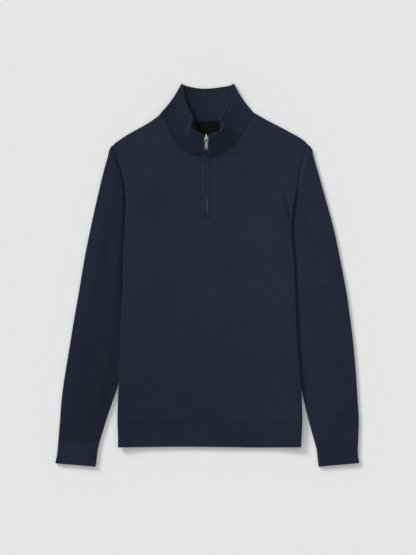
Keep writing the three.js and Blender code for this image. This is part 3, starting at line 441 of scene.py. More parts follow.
def border(share):
    """Thickness of a band over its plain wall: a fine line, then a fuller border to the edge."""
    line = 0.36 * math.exp(-((share - BORDER) / 0.016) ** 2)
    return 1 + 0.2 * float(ramp(BORDER, BORDER + 0.06, share)) - line


def hem_band(name, over):
    columns, inner = body_columns(over, 8.0 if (not over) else 4.0)
    chest_x = np.array([c[0] for c in columns])
    bow = hem_bow(chest_x)
    rows = []
    walls = []
    for share in HEM_SHARES:
        y = HEM_LINE_Y - SEAM / 2 - share * (HEM_DEPTH - SEAM / 2 - bow)
        rows.append(panel_points(over, RIB, columns, inner, y, relief=False))
        rows[-1][:, 2] += 0.25 * waviness(rows[-1][:, 0], rows[-1][:, 1], 50, 5.5) if over else 0
        walls.append(RIB * border(share))
    points = np.array(rows)
    if not over:
        points = points[:, ::-1]
    return cloth(name, points, points[..., :2], np.array(walls)[:, None])


# Sleeves and cuffs
SLEEVE_PUFF = 2.4
CAP_TUCK = 0.9
CAP_TUCK_DEPTH = 0.7
ARMHOLE_DEPTH = 1.7  # of the furrow along the armhole seam, under its shoulder end


def tube(name, table, side, wall, sections, start=0.0, finish=0.0, bow=None, bead=False):
    """Flattened tube through a table of sections."""
    keys = np.linspace(0, 1, len(table))
    curves = [curve(keys, table[:, i]) for i in range(5)]
    over, under = OVER_Z + (wall - KNIT) / 2, wall / 2
    radius, middle = (over - under) / 2, (over + under) / 2
    edge = wall / 2 + radius
    folds = np.radians([-78, -58, -38, -19, 0, 19, 38, 58, 78])
    over_shares = np.linspace(0.015, 0.985, 30)
    under_shares = np.linspace(0.96, 0.04, 10)
    grid, uv = [], []
    length = 0.0
    last_middle = None
    spots = np.linspace(0, 1, sections + 1)
    if bead:
        spots = np.union1d(spots, [share for share in HEM_SHARES if share > 0.6])
    if bow is not None:
        spots = np.union1d(spots, [0.01, 0.02, 0.034, 0.05, 0.068, 0.09])
    for s in spots:
        out_x, out_y, in_x, in_y, cap = (float(c(s)) for c in curves)
        if s == 0:
            out_y, in_y = out_y - start, in_y - start
        if s == 1:
            out_y, in_y = out_y + finish, in_y + finish
        width = math.hypot(in_x - out_x, in_y - out_y)
        unit = np.array([(in_x - out_x) / width, (in_y - out_y) / width])
        distance = np.concatenate([
            edge - radius * np.cos(folds), mix(edge, width - edge, over_shares),
            width - edge + radius * np.cos(folds[::-1]), mix(edge, width - edge, under_shares),
        ])
        z = np.concatenate([
            middle + radius * np.sin(folds), np.full(len(over_shares), over),
            middle + radius * np.sin(folds[::-1]), np.full(len(under_shares), under),
        ])
        x, y = out_x + unit[0] * distance, out_y + unit[1] * distance
        share = np.clip(distance / width, 0, 1)
        if bow is not None:
            x = x + cap * bow(share)
        upper = np.zeros(len(x))
        upper[len(folds):len(folds) + len(over_shares)] = 1
        free = upper * np.minimum(1, 6 * share * (1 - share))
        fullness = ramp(0, 0.3, share) * (1 - ramp(0.7, 0.9, share))
        puff = SLEEVE_PUFF * fullness * ramp(0.02, 0.2, s) * (1 - ramp(0.86, 1, s)) if bow is not None else 0
        z = z + upper * puff
        z = z + free * (crease_height(SLEEVE_CREASES, x, y) + 0.28 * waviness(x, y, 46, 1.7 * side))
        if bow is not None:
            low = CAP_TUCK_DEPTH + ARMHOLE_DEPTH * (1 - ramp(215, 250, y)) * (1 - ramp(0.86, 0.99, share))
            z = np.where(z > middle, z - low * (1 - ramp(0.012, 0.075, s)), z)
        centre = np.array([(out_x + in_x) / 2, (out_y + in_y) / 2])
        if last_middle is not None:
            length += float(np.linalg.norm(centre - last_middle))
        last_middle = centre
        ring = np.stack([x, y, z], axis=1)
        across = distance - width / 2
        knit = np.stack([across, np.full(len(x), length)], axis=1)
        grid.append(ring if side < 0 else ring[::-1])
        uv.append(knit if side < 0 else knit[::-1])
    walls = np.array([wall * border(s) if bead else wall for s in spots])
    return cloth(name, np.array(grid), np.array(uv), walls[:, None], ring=True)


def armhole_bow(side):
    out_x, out_y, in_x, in_y, _ = SLEEVES[side][0]

    def bow(share):
        edge = body_edge[side](mix(out_y, in_y, share))
        return edge - side * CAP_TUCK - mix(out_x, in_x, share)

    return bow


# Collar
def off_curve(neck, x, distance):
    slope = float(neck(x + 0.5) - neck(x - 0.5))
    length = math.hypot(1, slope)
    return np.array([x - slope / length * distance, float(neck(x)) + distance / length])


FRONT_SEAM_GAP = 0.8  # open line between the collar's base and the front
BACK_SEAM_LAP = 0.6  # the collar's base lies this far over the back panel's neck edge
COLLAR_ROWS = np.concatenate([
    [0, 0.01, 0.025], np.linspace(0.05, 0.83, 20), [0.855, 0.875, 0.889, 0.9, 0.911, 0.925],
    [0.945, 0.965, 0.98, 0.992, 1],
])
profile_rise = curve(COLLAR_PROFILE[:, 0], COLLAR_PROFILE[:, 1])
profile_low = curve(COLLAR_PROFILE[:, 0], COLLAR_PROFILE[:, 2])


def smooth_columns(stations, per_span):
    """More columns between stations, by a smooth curve through each row."""
    keys = np.arange(len(stations))
    fine = np.linspace(0, len(stations) - 1, (len(stations) - 1) * per_span + 1)
    data = np.array(stations)
    flat = data.reshape(len(stations), -1)
    out = np.stack([curve(keys, flat[:, i])(fine) for i in range(flat.shape[1])], axis=1)
    return list(out.reshape(len(fine), *data.shape[1:]))


def collar_front(side, rows=COLLAR_ROWS):
    stations = []
    for seam_x, top_x, top_y, top_z in COLLAR_FRONT[side]:
        foot = off_curve(front_neck, seam_x, FRONT_SEAM_GAP)
        x, y = mix(foot[0], top_x, rows), mix(foot[1], top_y, rows)
        low = float(ramp(COLLAR_LOW_FROM, COLLAR_LOW_TO, abs(seam_x - ZIP_X)))
        z = mix(COLLAR_SEAM_Z, top_z, mix(profile_rise(rows), profile_low(rows), low))
        stations.append(np.stack([x, y, z], axis=1))
    return stations


def collar_fold(side):
    seam_x, seam_y, tip_x, tip_y = NECK_FOLD[side]
    foot, tip = np.array([seam_x, seam_y]), np.array([tip_x, tip_y])
    line = (tip - foot) / np.linalg.norm(tip - foot)
    outward = np.array([-line[1], line[0]]) * -side
    columns = []
    for degrees in range(84, -85, -14):
        angle = math.radians(degrees)
        shift = NECK_FOLD_RADIUS * math.cos(angle) - COLLAR_WALL / 2 - NECK_FOLD_RADIUS
        bow = NECK_FOLD_BOW * np.sin(math.pi * COLLAR_ROWS)[:, None]
        down = FOLD_FOOT * (1 - COLLAR_ROWS)[:, None] ** 6
        plan = foot + (tip - foot) * (COLLAR_ROWS[:, None] - down) + outward * (shift - bow)
        z = COLLAR_WALL / 2 + NECK_FOLD_RADIUS * (1 + math.sin(angle))
        columns.append(np.column_stack([plan, np.full(len(plan), z)]))
    return columns


def collar_back():
    stations = []
    for seam_x, top_x, top_y in COLLAR_BACK:
        foot = off_curve(back_neck, seam_x, -BACK_SEAM_LAP)
        x, y = mix(foot[0], top_x, COLLAR_ROWS), mix(foot[1], top_y, COLLAR_ROWS)
        stations.append(np.stack([x, y, np.full(len(x), COLLAR_WALL / 2)], axis=1))
    return stations


def neck_allowance(name):
    """Narrow edge of knit that the neckline seam turns inside, under its open line."""
    grid = []
    for seam_x in np.linspace(-90, 87, 60):
        for_row = [off_curve(front_neck, seam_x, d) for d in (-3.2, -1, 1.2, 3.4)]
        grid.append([(x, y, UNDER_NECK_Z + 0.1 * i) for i, (x, y) in enumerate(for_row)])
    points = np.array(grid)
    return cloth(name, points, points[..., :2], 0.5)


def collar(name):
    left = smooth_columns(collar_front(-1), 7)
    right = smooth_columns(collar_front(1), 7)
    back = smooth_columns([collar_fold(-1)[-1], *collar_back(), collar_fold(1)[-1]], 8)
    columns = [*left, *collar_fold(-1)[:-1], *back, *collar_fold(1)[::-1][1:], *right[::-1]]
    points = np.array(columns).transpose(1, 0, 2)[:, ::-1]
    steps = np.linalg.norm(np.diff(points[len(COLLAR_ROWS) // 2], axis=0), axis=1)
    around = np.concatenate([[0], np.cumsum(steps)])
    up = COLLAR_ROWS * 62
    uv = np.stack(np.broadcast_arrays(around[None, :], up[:, None]), axis=2)
    # the edge is a soft roll, with a fine line under it where the doubled knit is caught
    roll = 1 + 0.22 * np.exp(-((COLLAR_ROWS - 0.955) / 0.03) ** 2)
    line = 1 - 0.34 * np.exp(-((COLLAR_ROWS - 0.9) / 0.011) ** 2)
    return cloth(name, points, uv, (COLLAR_WALL * roll * line)[:, None])


# Zip
def zip_line():
    """Outer face of the front along the zip, from the placket's foot to the collar's top."""
    points = [
        (y, OUTER_Z + float(crease_height(BODY_CREASES, np.array(ZIP_X), np.array(y))))
        for y in np.arange(ZIP_FOOT_Y, 235, 12.5)
    ]
    stations = collar_front(-1, COLLAR_PROFILE[:, 0])[0][:, 1:]
    slopes = np.gradient(stations, axis=0)
    slopes /= np.linalg.norm(slopes, axis=1, keepdims=True)
    outer = stations + np.stack([-slopes[:, 1], slopes[:, 0]], axis=1) * COLLAR_WALL / 2
    points += [tuple(p) for p in outer[2:]]
    points = np.array(points)
    chord = np.concatenate([[0], np.cumsum(np.linalg.norm(np.diff(points, axis=0), axis=1))])
    fine = np.linspace(0, chord[-1], 600)
    path = np.stack([curve(chord, points[:, 0])(fine), curve(chord, points[:, 1])(fine)], axis=1)
    length = np.concatenate([[0], np.cumsum(np.linalg.norm(np.diff(path, axis=0), axis=1))])
    return path, length


ZIP_PATH, ZIP_LENGTHS = zip_line()
ZIP_LENGTH = float(ZIP_LENGTHS[-1])


def zip_frame(distance):
    """Point, slope and outward direction of the zip line at a distance from its foot."""
    d = float(np.clip(distance, 0, ZIP_LENGTH))
    here = np.array([np.interp(d, ZIP_LENGTHS, ZIP_PATH[:, i]) for i in (0, 1)])
    a, b = max(0, d - 1), min(ZIP_LENGTH, d + 1)
    ahead = np.array([np.interp(b, ZIP_LENGTHS, ZIP_PATH[:, i]) for i in (0, 1)])
    behind = np.array([np.interp(a, ZIP_LENGTHS, ZIP_PATH[:, i]) for i in (0, 1)])
    slope = (ahead - behind) / np.linalg.norm(ahead - behind)
    return here, slope, np.array([-slope[1], slope[0]])


def on_zip(x, distance, height):
    here, _, out = zip_frame(distance)
    return (ZIP_X + x, here[0] + out[0] * height, here[1] + out[1] * height)


CHAIN_WIDTH = 4.4
CHAIN_TOP = -1.05
CHAIN_THICK = 1.6
SLIDER_LENGTH = 11.0
SLIDER_WIDTH = 8.2
SLIDER_GAP = SLIDER_WIDTH / 2 + 0.5
CLOSED_GAP = 0.12
FOOT_LIFT = -0.5  # the facings' feet sink into the front
slit_gap = curve(
    [0, 7, 10, 14, 34, 42, 50, 100, ZIP_LENGTH - SLIDER_LENGTH - 10,
     ZIP_LENGTH - SLIDER_LENGTH - 2.5, ZIP_LENGTH],
    [CLOSED_GAP, 0.1, 0.7, 0.95, 0.95, 0.6, CLOSED_GAP, CLOSED_GAP, CLOSED_GAP,
     SLIDER_GAP, SLIDER_GAP],
)
# the closed zip wanders a little toward one side below the slider
zip_drift = curve([0, 30, 95, 125, ZIP_LENGTH], [0.7, 0.8, 1.0, 0.15, 0])


def zip_strip(name, side):
    shares = np.concatenate([[0, 0.02, 0.06], np.linspace(0.12, 0.84, 9), [0.88, 0.92, 0.96, 1]])
    lift = curve([0, 0.1, 0.3, 0.6, 0.84, 1], [-0.15, 0.1, 0.4, 0.85, 0.9, 0.1])
    grid, uv = [], []
    for distance in np.linspace(0.9, ZIP_LENGTH, 130):
        gap = float(np.clip(slit_gap(distance), CLOSED_GAP, SLIDER_GAP))
        if distance < 60:
            gap *= 1 + 0.55 * side
        foot = float(ramp(0, 9, distance))
        at_slider = float(ramp(2.1, SLIDER_GAP, gap))
        drift = float(zip_drift(distance))
        edge = side * STRIP_WIDTH
        row = []
        for share in shares:
            height = mix(FOOT_LIFT, mix(float(lift(share)), 0, at_slider), foot) - KNIT / 2
            row.append(on_zip(mix(edge, side * gap + drift, share), distance, height))
        grid.append(row if side < 0 else row[::-1])
        across = side * mix(STRIP_WIDTH, gap, shares)
        knit = np.stack([across, np.full(len(shares), distance)], axis=1)
        uv.append(knit if side < 0 else knit[::-1])
    return cloth(name, np.array(grid), np.array(uv), KNIT)


def box_faces(start):
    corners = ((0, 1, 3, 2), (4, 6, 7, 5), (0, 4, 5, 1), (2, 3, 7, 6), (0, 2, 6, 4), (1, 5, 7, 3))
    return [tuple(start + i for i in face) for face in corners]


def zip_teeth(name):
    """Two rows of teeth that lock in turn, each a small block with a waisted root."""
    pitch = 1.5
    vertices, faces = [], []
    low, high = TEETH_FOOT_Y - ZIP_FOOT_Y + 2, ZIP_LENGTH - SLIDER_LENGTH + 3
    middle = CHAIN_TOP - CHAIN_THICK / 2
    for i, distance in enumerate(np.arange(low, high, pitch / 2)):
        side = 1 if i % 2 else -1
        for reach, width, half in ((-0.9, 0.42, 0.72), (CHAIN_WIDTH / 2, 0.56, 0.8)):
            for along in (-width, width):
                for height in (-half, half):
                    x = side * reach + float(zip_drift(distance))
                    vertices.append(on_zip(x, distance + along, middle + height))
        start = len(vertices) - 8
        flip = box_faces(start)
        faces += flip if side > 0 else [face[::-1] for face in flip]
    stop = TEETH_FOOT_Y - ZIP_FOOT_Y
    for x in (-CHAIN_WIDTH / 2, CHAIN_WIDTH / 2):
        for along in (0, 2.2):
            for height in (-0.8, 0.8):
                vertices.append(on_zip(x + zip_drift(stop), stop + along - 0.9, middle + height))
    faces += box_faces(len(vertices) - 8)
    mesh = bpy.data.meshes.new(name)
    mesh.from_pydata((np.array(vertices) * MM).tolist(), [], faces)
    obj = bpy.data.objects.new(name, mesh)
    bpy.context.collection.objects.link(obj)
    fix_normals(obj)
    bevel = obj.modifiers.new("edges", "BEVEL")
    bevel.width = 0.14 * MM
    bevel.segments = 2
    apply_modifiers(obj)
    return obj


def fix_normals(obj):
    work = bmesh.new()
    work.from_mesh(obj.data)
    bmesh.ops.recalc_face_normals(work, faces=work.faces)
    work.to_mesh(obj.data)
    work.free()


def zip_tape(name):
    grid = []
    for distance in np.linspace(1.5, ZIP_LENGTH - 3, 90):
        grid.append([on_zip(x, distance, CHAIN_TOP - CHAIN_THICK / 2) for x in np.linspace(-5.4, 5.4, 13)])
    points = np.array(grid)
    return cloth(name, points, points[..., :2], 0.35)


def bezier_outline(steps, points):
    """Outline from straight points and quadratic corners: (x, y) or (control x, control y, x, y)."""
    out = []
    for entry in points:
        if len(entry) == 2:
            out.append(entry)
            continue
        cx, cy, x, y = entry
        x0, y0 = out[-1]
        for i in range(1, steps + 1):
            t = i / steps
            out.append((
                (1 - t) ** 2 * x0 + 2 * t * (1 - t) * cx + t * t * x,
                (1 - t) ** 2 * y0 + 2 * t * (1 - t) * cy + t * t * y,
            ))
    return out


def arc(x, y, radius, start, end, steps):
    turns = np.radians(np.linspace(start, end, steps + 1))
    return [(x + radius * math.cos(a), y + radius * math.sin(a)) for a in turns]


def plate(name, outlines, low, high, bevel):
    """Flat plate with rounded edges from closed outlines, the holes among them."""
    data = bpy.data.curves.new(name, "CURVE")
    data.dimensions = "2D"
    data.fill_mode = "BOTH"
    data.extrude = ((high - low) / 2 - bevel) * MM
    data.bevel_depth = bevel * MM
    data.bevel_resolution = 2
    data.offset = -bevel * MM
    for outline in outlines:
        spline = data.splines.new("POLY")
        spline.points.add(len(outline) - 1)
        for point, (x, y) in zip(spline.points, outline):
            point.co = (x * MM, y * MM, 0, 1)
        spline.use_cyclic_u = True
    shape = bpy.data.objects.new(name + "_shape", data)
    bpy.context.collection.objects.link(shape)
    mesh = bpy.data.meshes.new_from_object(shape.evaluated_get(bpy.context.evaluated_depsgraph_get()))
    bpy.data.objects.remove(shape)
    mesh.transform(Matrix.Translation((0, 0, (low + high) / 2 * MM)))
    obj = bpy.data.objects.new(name, mesh)
    bpy.context.collection.objects.link(obj)
    work = bmesh.new()
    work.from_mesh(mesh)
    bmesh.ops.remove_doubles(work, verts=work.verts, dist=1e-6)
    bmesh.ops.recalc_face_normals(work, faces=work.faces)
    work.to_mesh(mesh)
    work.free()
    mesh.shade_smooth()
    mesh.set_sharp_from_angle(angle=math.radians(40))
    return obj


def joined(name, parts):
    work = bmesh.new()
    for part in parts:
        work.from_mesh(part.data)
        bpy.data.objects.remove(part)
    mesh = bpy.data.meshes.new(name)
    work.to_mesh(mesh)
    work.free()
    obj = bpy.data.objects.new(name, mesh)
    bpy.context.collection.objects.link(obj)
    return obj


PLATE_TOP = 1.0
BACK_PLATE_TOP = CHAIN_TOP - CHAIN_THICK - SEAM
BAIL_WIDTH = 1.8
PIVOT_Y = -8.4
PIN_RADIUS = 0.6
PIVOT_Z = PLATE_TOP + SEAM + PIN_RADIUS
PULL_LENGTH = 22.8
PULL_HEAD = 3.9  # half widths of the pull at its eye, waist and round end
PULL_WAIST = 2.1
PULL_END = 3.3
EYE_HALF_WIDTH = 1.5
EYE_LENGTH = 5.6
END_HOLE_RADIUS = 1.8
PULL_THICK = 1.2


def slider_outline(half):
    """Pointed crown, shoulders and rounded tail."""
    right = [
        (0, 0), (half * 0.3, -0.6, half * 0.5, -2.6), (half * 0.6, -4.6, half, -6.4),
        (half * 0.84, -SLIDER_LENGTH + 1.4),
        (half * 0.8, -SLIDER_LENGTH, half * 0.5, -SLIDER_LENGTH),
    ]
    points = bezier_outline(8, right)
    return points + [(-x, y) for x, y in points[::-1][:-1]]


def zip_slider(name):
    half = SLIDER_WIDTH / 2
    front = plate("front", [slider_outline(half)], PLATE_TOP - 1.2, PLATE_TOP, 0.35)
    back = plate("back", [slider_outline(half * 0.94)], BACK_PLATE_TOP - 1, BACK_PLATE_TOP, 0.3)
    wedge = plate("wedge", [[(0, -1.3), (1.3, -2.8), (0, -5.8), (-1.3, -2.8)]], BACK_PLATE_TOP - 0.4, PLATE_TOP - 0.5, 0.1)
    arch = bezier_outline(8, [
        (-10.6, PLATE_TOP - 0.3), (-10.6, PLATE_TOP + 1.6), (-10.4, PLATE_TOP + 2.9, -8.6, PLATE_TOP + 2.9),
        (-6.4, PLATE_TOP + 2.9), (-4.6, PLATE_TOP + 2.6, -3.6, PLATE_TOP - 0.3),
    ])
    window = bezier_outline(6, [
        (-9.6, PLATE_TOP + 0.02), (-5.2, PLATE_TOP + 0.02), (-5.4, PLATE_TOP + 1.9, -6.8, PLATE_TOP + 1.9),
        (-8.8, PLATE_TOP + 1.9), (-9.6, PLATE_TOP + 1.9, -9.6, PLATE_TOP + 1.3),
    ])
    bail = plate("bail", [arch, window], -BAIL_WIDTH / 2, BAIL_WIDTH / 2, 0.3)
    turn = Matrix(((0, 0, 1, 0), (1, 0, 0, 0), (0, 1, 0, 0), (0, 0, 0, 1)))
    bail.data.transform(turn)
    return seat_on_zip(joined(name, [front, back, wedge, bail]), 0, 0)


def pull_tab(name):
    """Drawn with its pin on the origin: an eye round the bail, a waist and a round end."""
    end_y = -PULL_LENGTH + PULL_END
    right = bezier_outline(8, [
        (1.6, PIN_RADIUS), (PULL_HEAD, PIN_RADIUS, PULL_HEAD, -2.4), (PULL_HEAD, -3.8),
        (PULL_HEAD, -6.6, PULL_WAIST, -9.4), (PULL_END, -11.2, PULL_END, -13.4),
    ])
    right += arc(0, end_y, PULL_END, 0, -90, 12)
    outline = right + [(-x, y) for x, y in right[::-1] if x > 1e-6]
    half, low = EYE_HALF_WIDTH, -EYE_LENGTH
    eye = bezier_outline(6, [
        (half, -PIN_RADIUS), (-half, -PIN_RADIUS), (-half, low + 1), (-half, low, 0, low),
        (half, low, half, low + 1),
    ])
    end_hole = arc(0, end_y, END_HOLE_RADIUS, 0, 345, 23)
    tab = plate(name, [outline, eye, end_hole], -PULL_THICK / 2, PULL_THICK / 2, 0.36)
    return seat_on_zip(tab, PIVOT_Y, PIVOT_Z)


def bar_tack(name):
    """Close bar of thread across the facings' feet."""
    tack = plate(name, [[(-4.6, 0), (4.6, 0), (4.6, 1.5), (-4.6, 1.5)]], -0.2, 0.35, 0.3)
    tack.location = (ZIP_X * MM, (ZIP_FOOT_Y - 0.9) * MM, OUTER_Z * MM)
    bpy.context.view_layer.update()
    tack.data.transform(tack.matrix_world)
    tack.location = (0, 0, 0)
    return tack


def seat_on_zip(obj, y, height):
    """Place a drawn piece at the head of the zip, as the model's own slider lies."""
    foot = np.array(on_zip(0, ZIP_LENGTH - 14, 0))
    head = np.array(on_zip(0, ZIP_LENGTH - 1, 0))
    slope = (head - foot) / np.linalg.norm(head - foot)
    out = np.array([0, -slope[2], slope[1]])
    place = Matrix.Translation((head + slope * y + out * height) * MM)
    obj.data.transform(place @ Matrix.Rotation(math.atan2(slope[2], slope[1]), 4, "X"))
    return obj


def neck_label(name):
    rows = np.linspace(273.4, 315.4, 16)
    columns = np.linspace(-23.4, 23.6, 24)
    x, y = np.meshgrid(columns, rows)
    z = KNIT + SEAM + 0.3 + 0.25 * (1 + np.sin(x / 9 + 1)) * ramp(273, 300, -y + 590) * 0.5
    points = np.stack([x, y, z], axis=2)
    return cloth(name, points, points[..., :2], 0.6)


# Materials
class Shader:
    """Small helper round a material's nodes."""

    def __init__(self, name):
        self.material = bpy.data.materials.new(name)
        self.material.use_nodes = True
        self.nodes = self.material.node_tree.nodes
        self.links = self.material.node_tree.links
        self.surface = self.nodes["Principled BSDF"]

    def node(self, kind, **values):
        node = self.nodes.new(kind)
        for key, value in values.items():
            if hasattr(node, key):
                setattr(node, key, value)
            else:
                node.inputs[key].default_value = value
        return node

    def link(self, source, target):
        self.links.new(source, target)

    def set(self, **values):
        for key, value in values.items():
            self.surface.inputs[key.replace("_", " ")].default_value = value

    def math(self, operation, a, b=None):
        node = self.nodes.new("ShaderNodeMath")
        node.operation = operation
        for i, value in enumerate((a, b)):
            if value is None:
                continue
            if isinstance(value, (int, float)):
                node.inputs[i].default_value = value
            else:
                self.link(value, node.inputs[i])
        return node.outputs[0]


MELANGE = 0.36
MELANGE_GRAIN = (60.0, 190.0, 100.0)


def knit_material(name, dark, light, wale, course, depth, rib=0.0, tone_and_painted_shade=1.0, sides=(1.0, 1.0)):
    """Fine jersey or rib: wales and courses from the knit coordinates, mottled yarn colour, and painted shade toward
    the hem and from side to side.
    """
    s = Shader(name)
    uv = s.node("ShaderNodeUVMap", uv_map="knit")
    split = s.node("ShaderNodeSeparateXYZ")
    s.link(uv.outputs[0], split.inputs[0])
    u, v = split.outputs[0], split.outputs[1]
    wale_turn = s.math("MULTIPLY", u, math.tau / wale)
    wale_wave = s.math("ABSOLUTE", s.math("SINE", s.math("MULTIPLY", wale_turn, 0.5)))
    slant = s.math("MULTIPLY", wale_wave, 1.6)
    course_turn = s.math("ADD", s.math("MULTIPLY", v, math.tau / course), slant)
    course_wave = s.math("SINE", course_turn)
    stitch = s.math("ADD", wale_wave, s.math("MULTIPLY", course_wave, 0.35))
    if rib:
        rib_wave = s.math("SINE", s.math("MULTIPLY", u, math.tau / rib))
        stitch = s.math("ADD", stitch, s.math("MULTIPLY", rib_wave, 0.9))
    coordinate = s.node("ShaderNodeTexCoord")
    broad = s.node("ShaderNodeTexNoise", Scale=9.0, Detail=3.0, Roughness=0.55)
    fine = s.node("ShaderNodeTexNoise", Scale=420.0, Detail=4.0, Roughness=0.7)
    s.link(coordinate.outputs["Object"], broad.inputs["Vector"])
    s.link(coordinate.outputs["Object"], fine.inputs["Vector"])
    shade = s.math("ADD", s.math("MULTIPLY", broad.outputs[0], 0.5), s.math("MULTIPLY", fine.outputs[0], 0.5))
    shade = s.math("ADD", shade, s.math("MULTIPLY", stitch, 0.06))
    colours = s.node("ShaderNodeValToRGB")
    colours.color_ramp.elements[0].position = 0.3
    colours.color_ramp.elements[0].color = (*dark, 1)
    colours.color_ramp.elements[1].position = 0.75
    colours.color_ramp.elements[1].color = (*light, 1)
    s.link(shade, colours.inputs[0])
    # painted shade: the colour is a little darker toward the hem and cuffs, as if less light reached the lower part
    place = s.node("ShaderNodeSeparateXYZ")
    s.link(coordinate.outputs["Object"], place.inputs[0])
    hem_painted_shade = s.node("ShaderNodeMapRange")
    hem_painted_shade.interpolation_type = "SMOOTHSTEP"
    for word, value in (("From Min", -0.36), ("From Max", 0.08), ("To Min", 0.85 * tone_and_painted_shade), ("To Max", tone_and_painted_shade)):
        hem_painted_shade.inputs[word].default_value = value
    s.link(place.outputs[1], hem_painted_shade.inputs["Value"])
    colour_with_painted_shade = s.node("ShaderNodeVectorMath", operation="SCALE")
    s.link(colours.outputs[0], colour_with_painted_shade.inputs[0])
    # painted light and shade: darker on the left side, which faces the key light, and lighter on the right, which
    # faces away from it
    side_painted_shading = s.node("ShaderNodeMapRange")
    side_painted_shading.interpolation_type = "SMOOTHSTEP"
    for word, value in (("From Min", -0.05), ("From Max", 0.05), ("To Min", sides[0]), ("To Max", sides[1])):
        side_painted_shading.inputs[word].default_value = value
    s.link(place.outputs[0], side_painted_shading.inputs["Value"])
    melange_and_painted_shade = s.math("MULTIPLY", hem_painted_shade.outputs["Result"], side_painted_shading.outputs["Result"])
    # melange: short lighter and darker streaks along the courses
    streaks = s.node("ShaderNodeVectorMath", operation="MULTIPLY")
    streaks.inputs[1].default_value = MELANGE_GRAIN
    s.link(coordinate.outputs["Object"], streaks.inputs[0])
    melange = s.node("ShaderNodeTexNoise", Scale=1.0, Detail=2.0, Roughness=0.6)
    s.link(streaks.outputs[0], melange.inputs["Vector"])
    share = s.math("ADD", s.math("MULTIPLY", melange.outputs[0], MELANGE), 1 - MELANGE / 2)
    melange_and_painted_shade = s.math("MULTIPLY", melange_and_painted_shade, share)
    s.link(melange_and_painted_shade, colour_with_painted_shade.inputs["Scale"])
    s.link(colour_with_painted_shade.outputs[0], s.surface.inputs["Base Color"])
    fuzz = s.math("ADD", stitch, s.math("MULTIPLY", fine.outputs[0], 0.8))
    bump = s.node("ShaderNodeBump", Strength=0.6, Distance=depth * MM)
    s.link(fuzz, bump.inputs["Height"])
    s.link(bump.outputs[0], s.surface.inputs["Normal"])
    s.set(Roughness=0.9, Sheen_Weight=0.4, Sheen_Roughness=0.28)
    s.surface.inputs["Sheen Tint"].default_value = (0.5, 0.6, 0.9, 1)
    s.surface.inputs["Specular IOR Level"].default_value = 0.06
    return s.material


def label_material(name):
    s = Shader(name)
    uv = s.node("ShaderNodeUVMap", uv_map="knit")
    split = s.node("ShaderNodeSeparateXYZ")
    s.link(uv.outputs[0], split.inputs[0])
    weave = s.math("MULTIPLY", s.math("SINE", s.math("MULTIPLY", split.outputs[0], math.tau / 0.5)),
                   s.math("SINE", s.math("MULTIPLY", split.outputs[1], math.tau / 0.4)))
    bump = s.node("ShaderNodeBump", Strength=0.5, Distance=0.00008)
    s.link(weave, bump.inputs["Height"])
    s.link(bump.outputs[0], s.surface.inputs["Normal"])
    colours = s.node("ShaderNodeValToRGB")
    colours.color_ramp.elements[0].color = (0.0026, 0.0026, 0.003, 1)
    colours.color_ramp.elements[1].color = (0.005, 0.005, 0.0056, 1)
    s.link(weave, colours.inputs[0])
    s.link(colours.outputs[0], s.surface.inputs["Base Color"])
    s.set(Roughness=0.7)
    s.surface.inputs["Specular IOR Level"].default_value = 0.08
    return s.material


def metal_material(name, shade, low=0.16, high=0.34):
    s = Shader(name)
    coordinate = s.node("ShaderNodeTexCoord")
    wear = s.node("ShaderNodeTexNoise", Scale=900.0, Detail=3.0)
    s.link(coordinate.outputs["Object"], wear.inputs["Vector"])
    rough = s.node("ShaderNodeMapRange")
    rough.inputs["To Min"].default_value = low
    rough.inputs["To Max"].default_value = high
    s.link(wear.outputs[0], rough.inputs["Value"])
    s.link(rough.outputs[0], s.surface.inputs["Roughness"])
    colours = s.node("ShaderNodeValToRGB")
    colours.color_ramp.elements[0].color = (*(c * 0.86 for c in shade), 1)
    colours.color_ramp.elements[1].color = (*shade, 1)
    s.link(wear.outputs[0], colours.inputs[0])
    s.link(colours.outputs[0], s.surface.inputs["Base Color"])
    s.set(Metallic=1.0)
    return s.material


def floor_material():
    s = Shader("floor")
    s.set(Roughness=0.9)
    s.surface.inputs["Base Color"].default_value = (0.8, 0.8, 0.8, 1)
    s.surface.inputs["Specular IOR Level"].default_value = 0.0
    return s.material


# Pieces
YARN = ((0.0153, 0.0178, 0.0326), (0.0212, 0.0246, 0.0439))
jersey = knit_material("navy_jersey", *YARN, 1.3, 1.0, 0.10)
# painted shade: the left sleeve's copy of the knit is made darker, and the right sleeve's a little darker, to stand
# in for how the light falls on them
jersey_left_painted_shade = knit_material("navy_jersey_left_painted_shade", *YARN, 1.3, 1.0, 0.10, tone_and_painted_shade=0.80)
jersey_right = knit_material("navy_jersey_right", *YARN, 1.3, 1.0, 0.10, tone_and_painted_shade=0.98)
rib_knit = knit_material("navy_rib", *YARN, 1.3, 1.0, 0.12, 2.6, tone_and_painted_shade=0.98)
thread = knit_material("navy_thread", (0.026, 0.029, 0.045), (0.036, 0.040, 0.058), 0.5, 0.5, 0.05)
# the collar's copy is darker overall; beside that, painted light and shade make it darker on its left, which the key
# light reaches, and lighter on its right, which faces away
collar_knit = knit_material("navy_collar", *YARN, 1.3, 1.0, 0.10, tone_and_painted_shade=0.80, sides=(0.91, 1.2))
label_cloth = label_material("woven_label")
nickel = metal_material("nickel", (0.60, 0.60, 0.60))
pull_metal = metal_material("pull_metal", (0.42, 0.415, 0.40), 0.22, 0.4)
tooth_metal = metal_material("tooth_metal", (0.22, 0.22, 0.22))
tape_cloth = knit_material("zip_tape_cloth", (0.006, 0.007, 0.011), (0.010, 0.011, 0.017), 0.8, 0.8, 0.05)


def finish_piece(obj, material, slot, body, *nodes):
    obj.data.materials.clear()
    obj.data.materials.append(material)
    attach(obj, body)
    if nodes:
        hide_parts(*nodes)
    return obj


def soft_piece(obj, material, slot, node, rim=0.45):
    soften_rims(obj, rim)
    return finish_piece(obj, material, slot, "sweater", node)


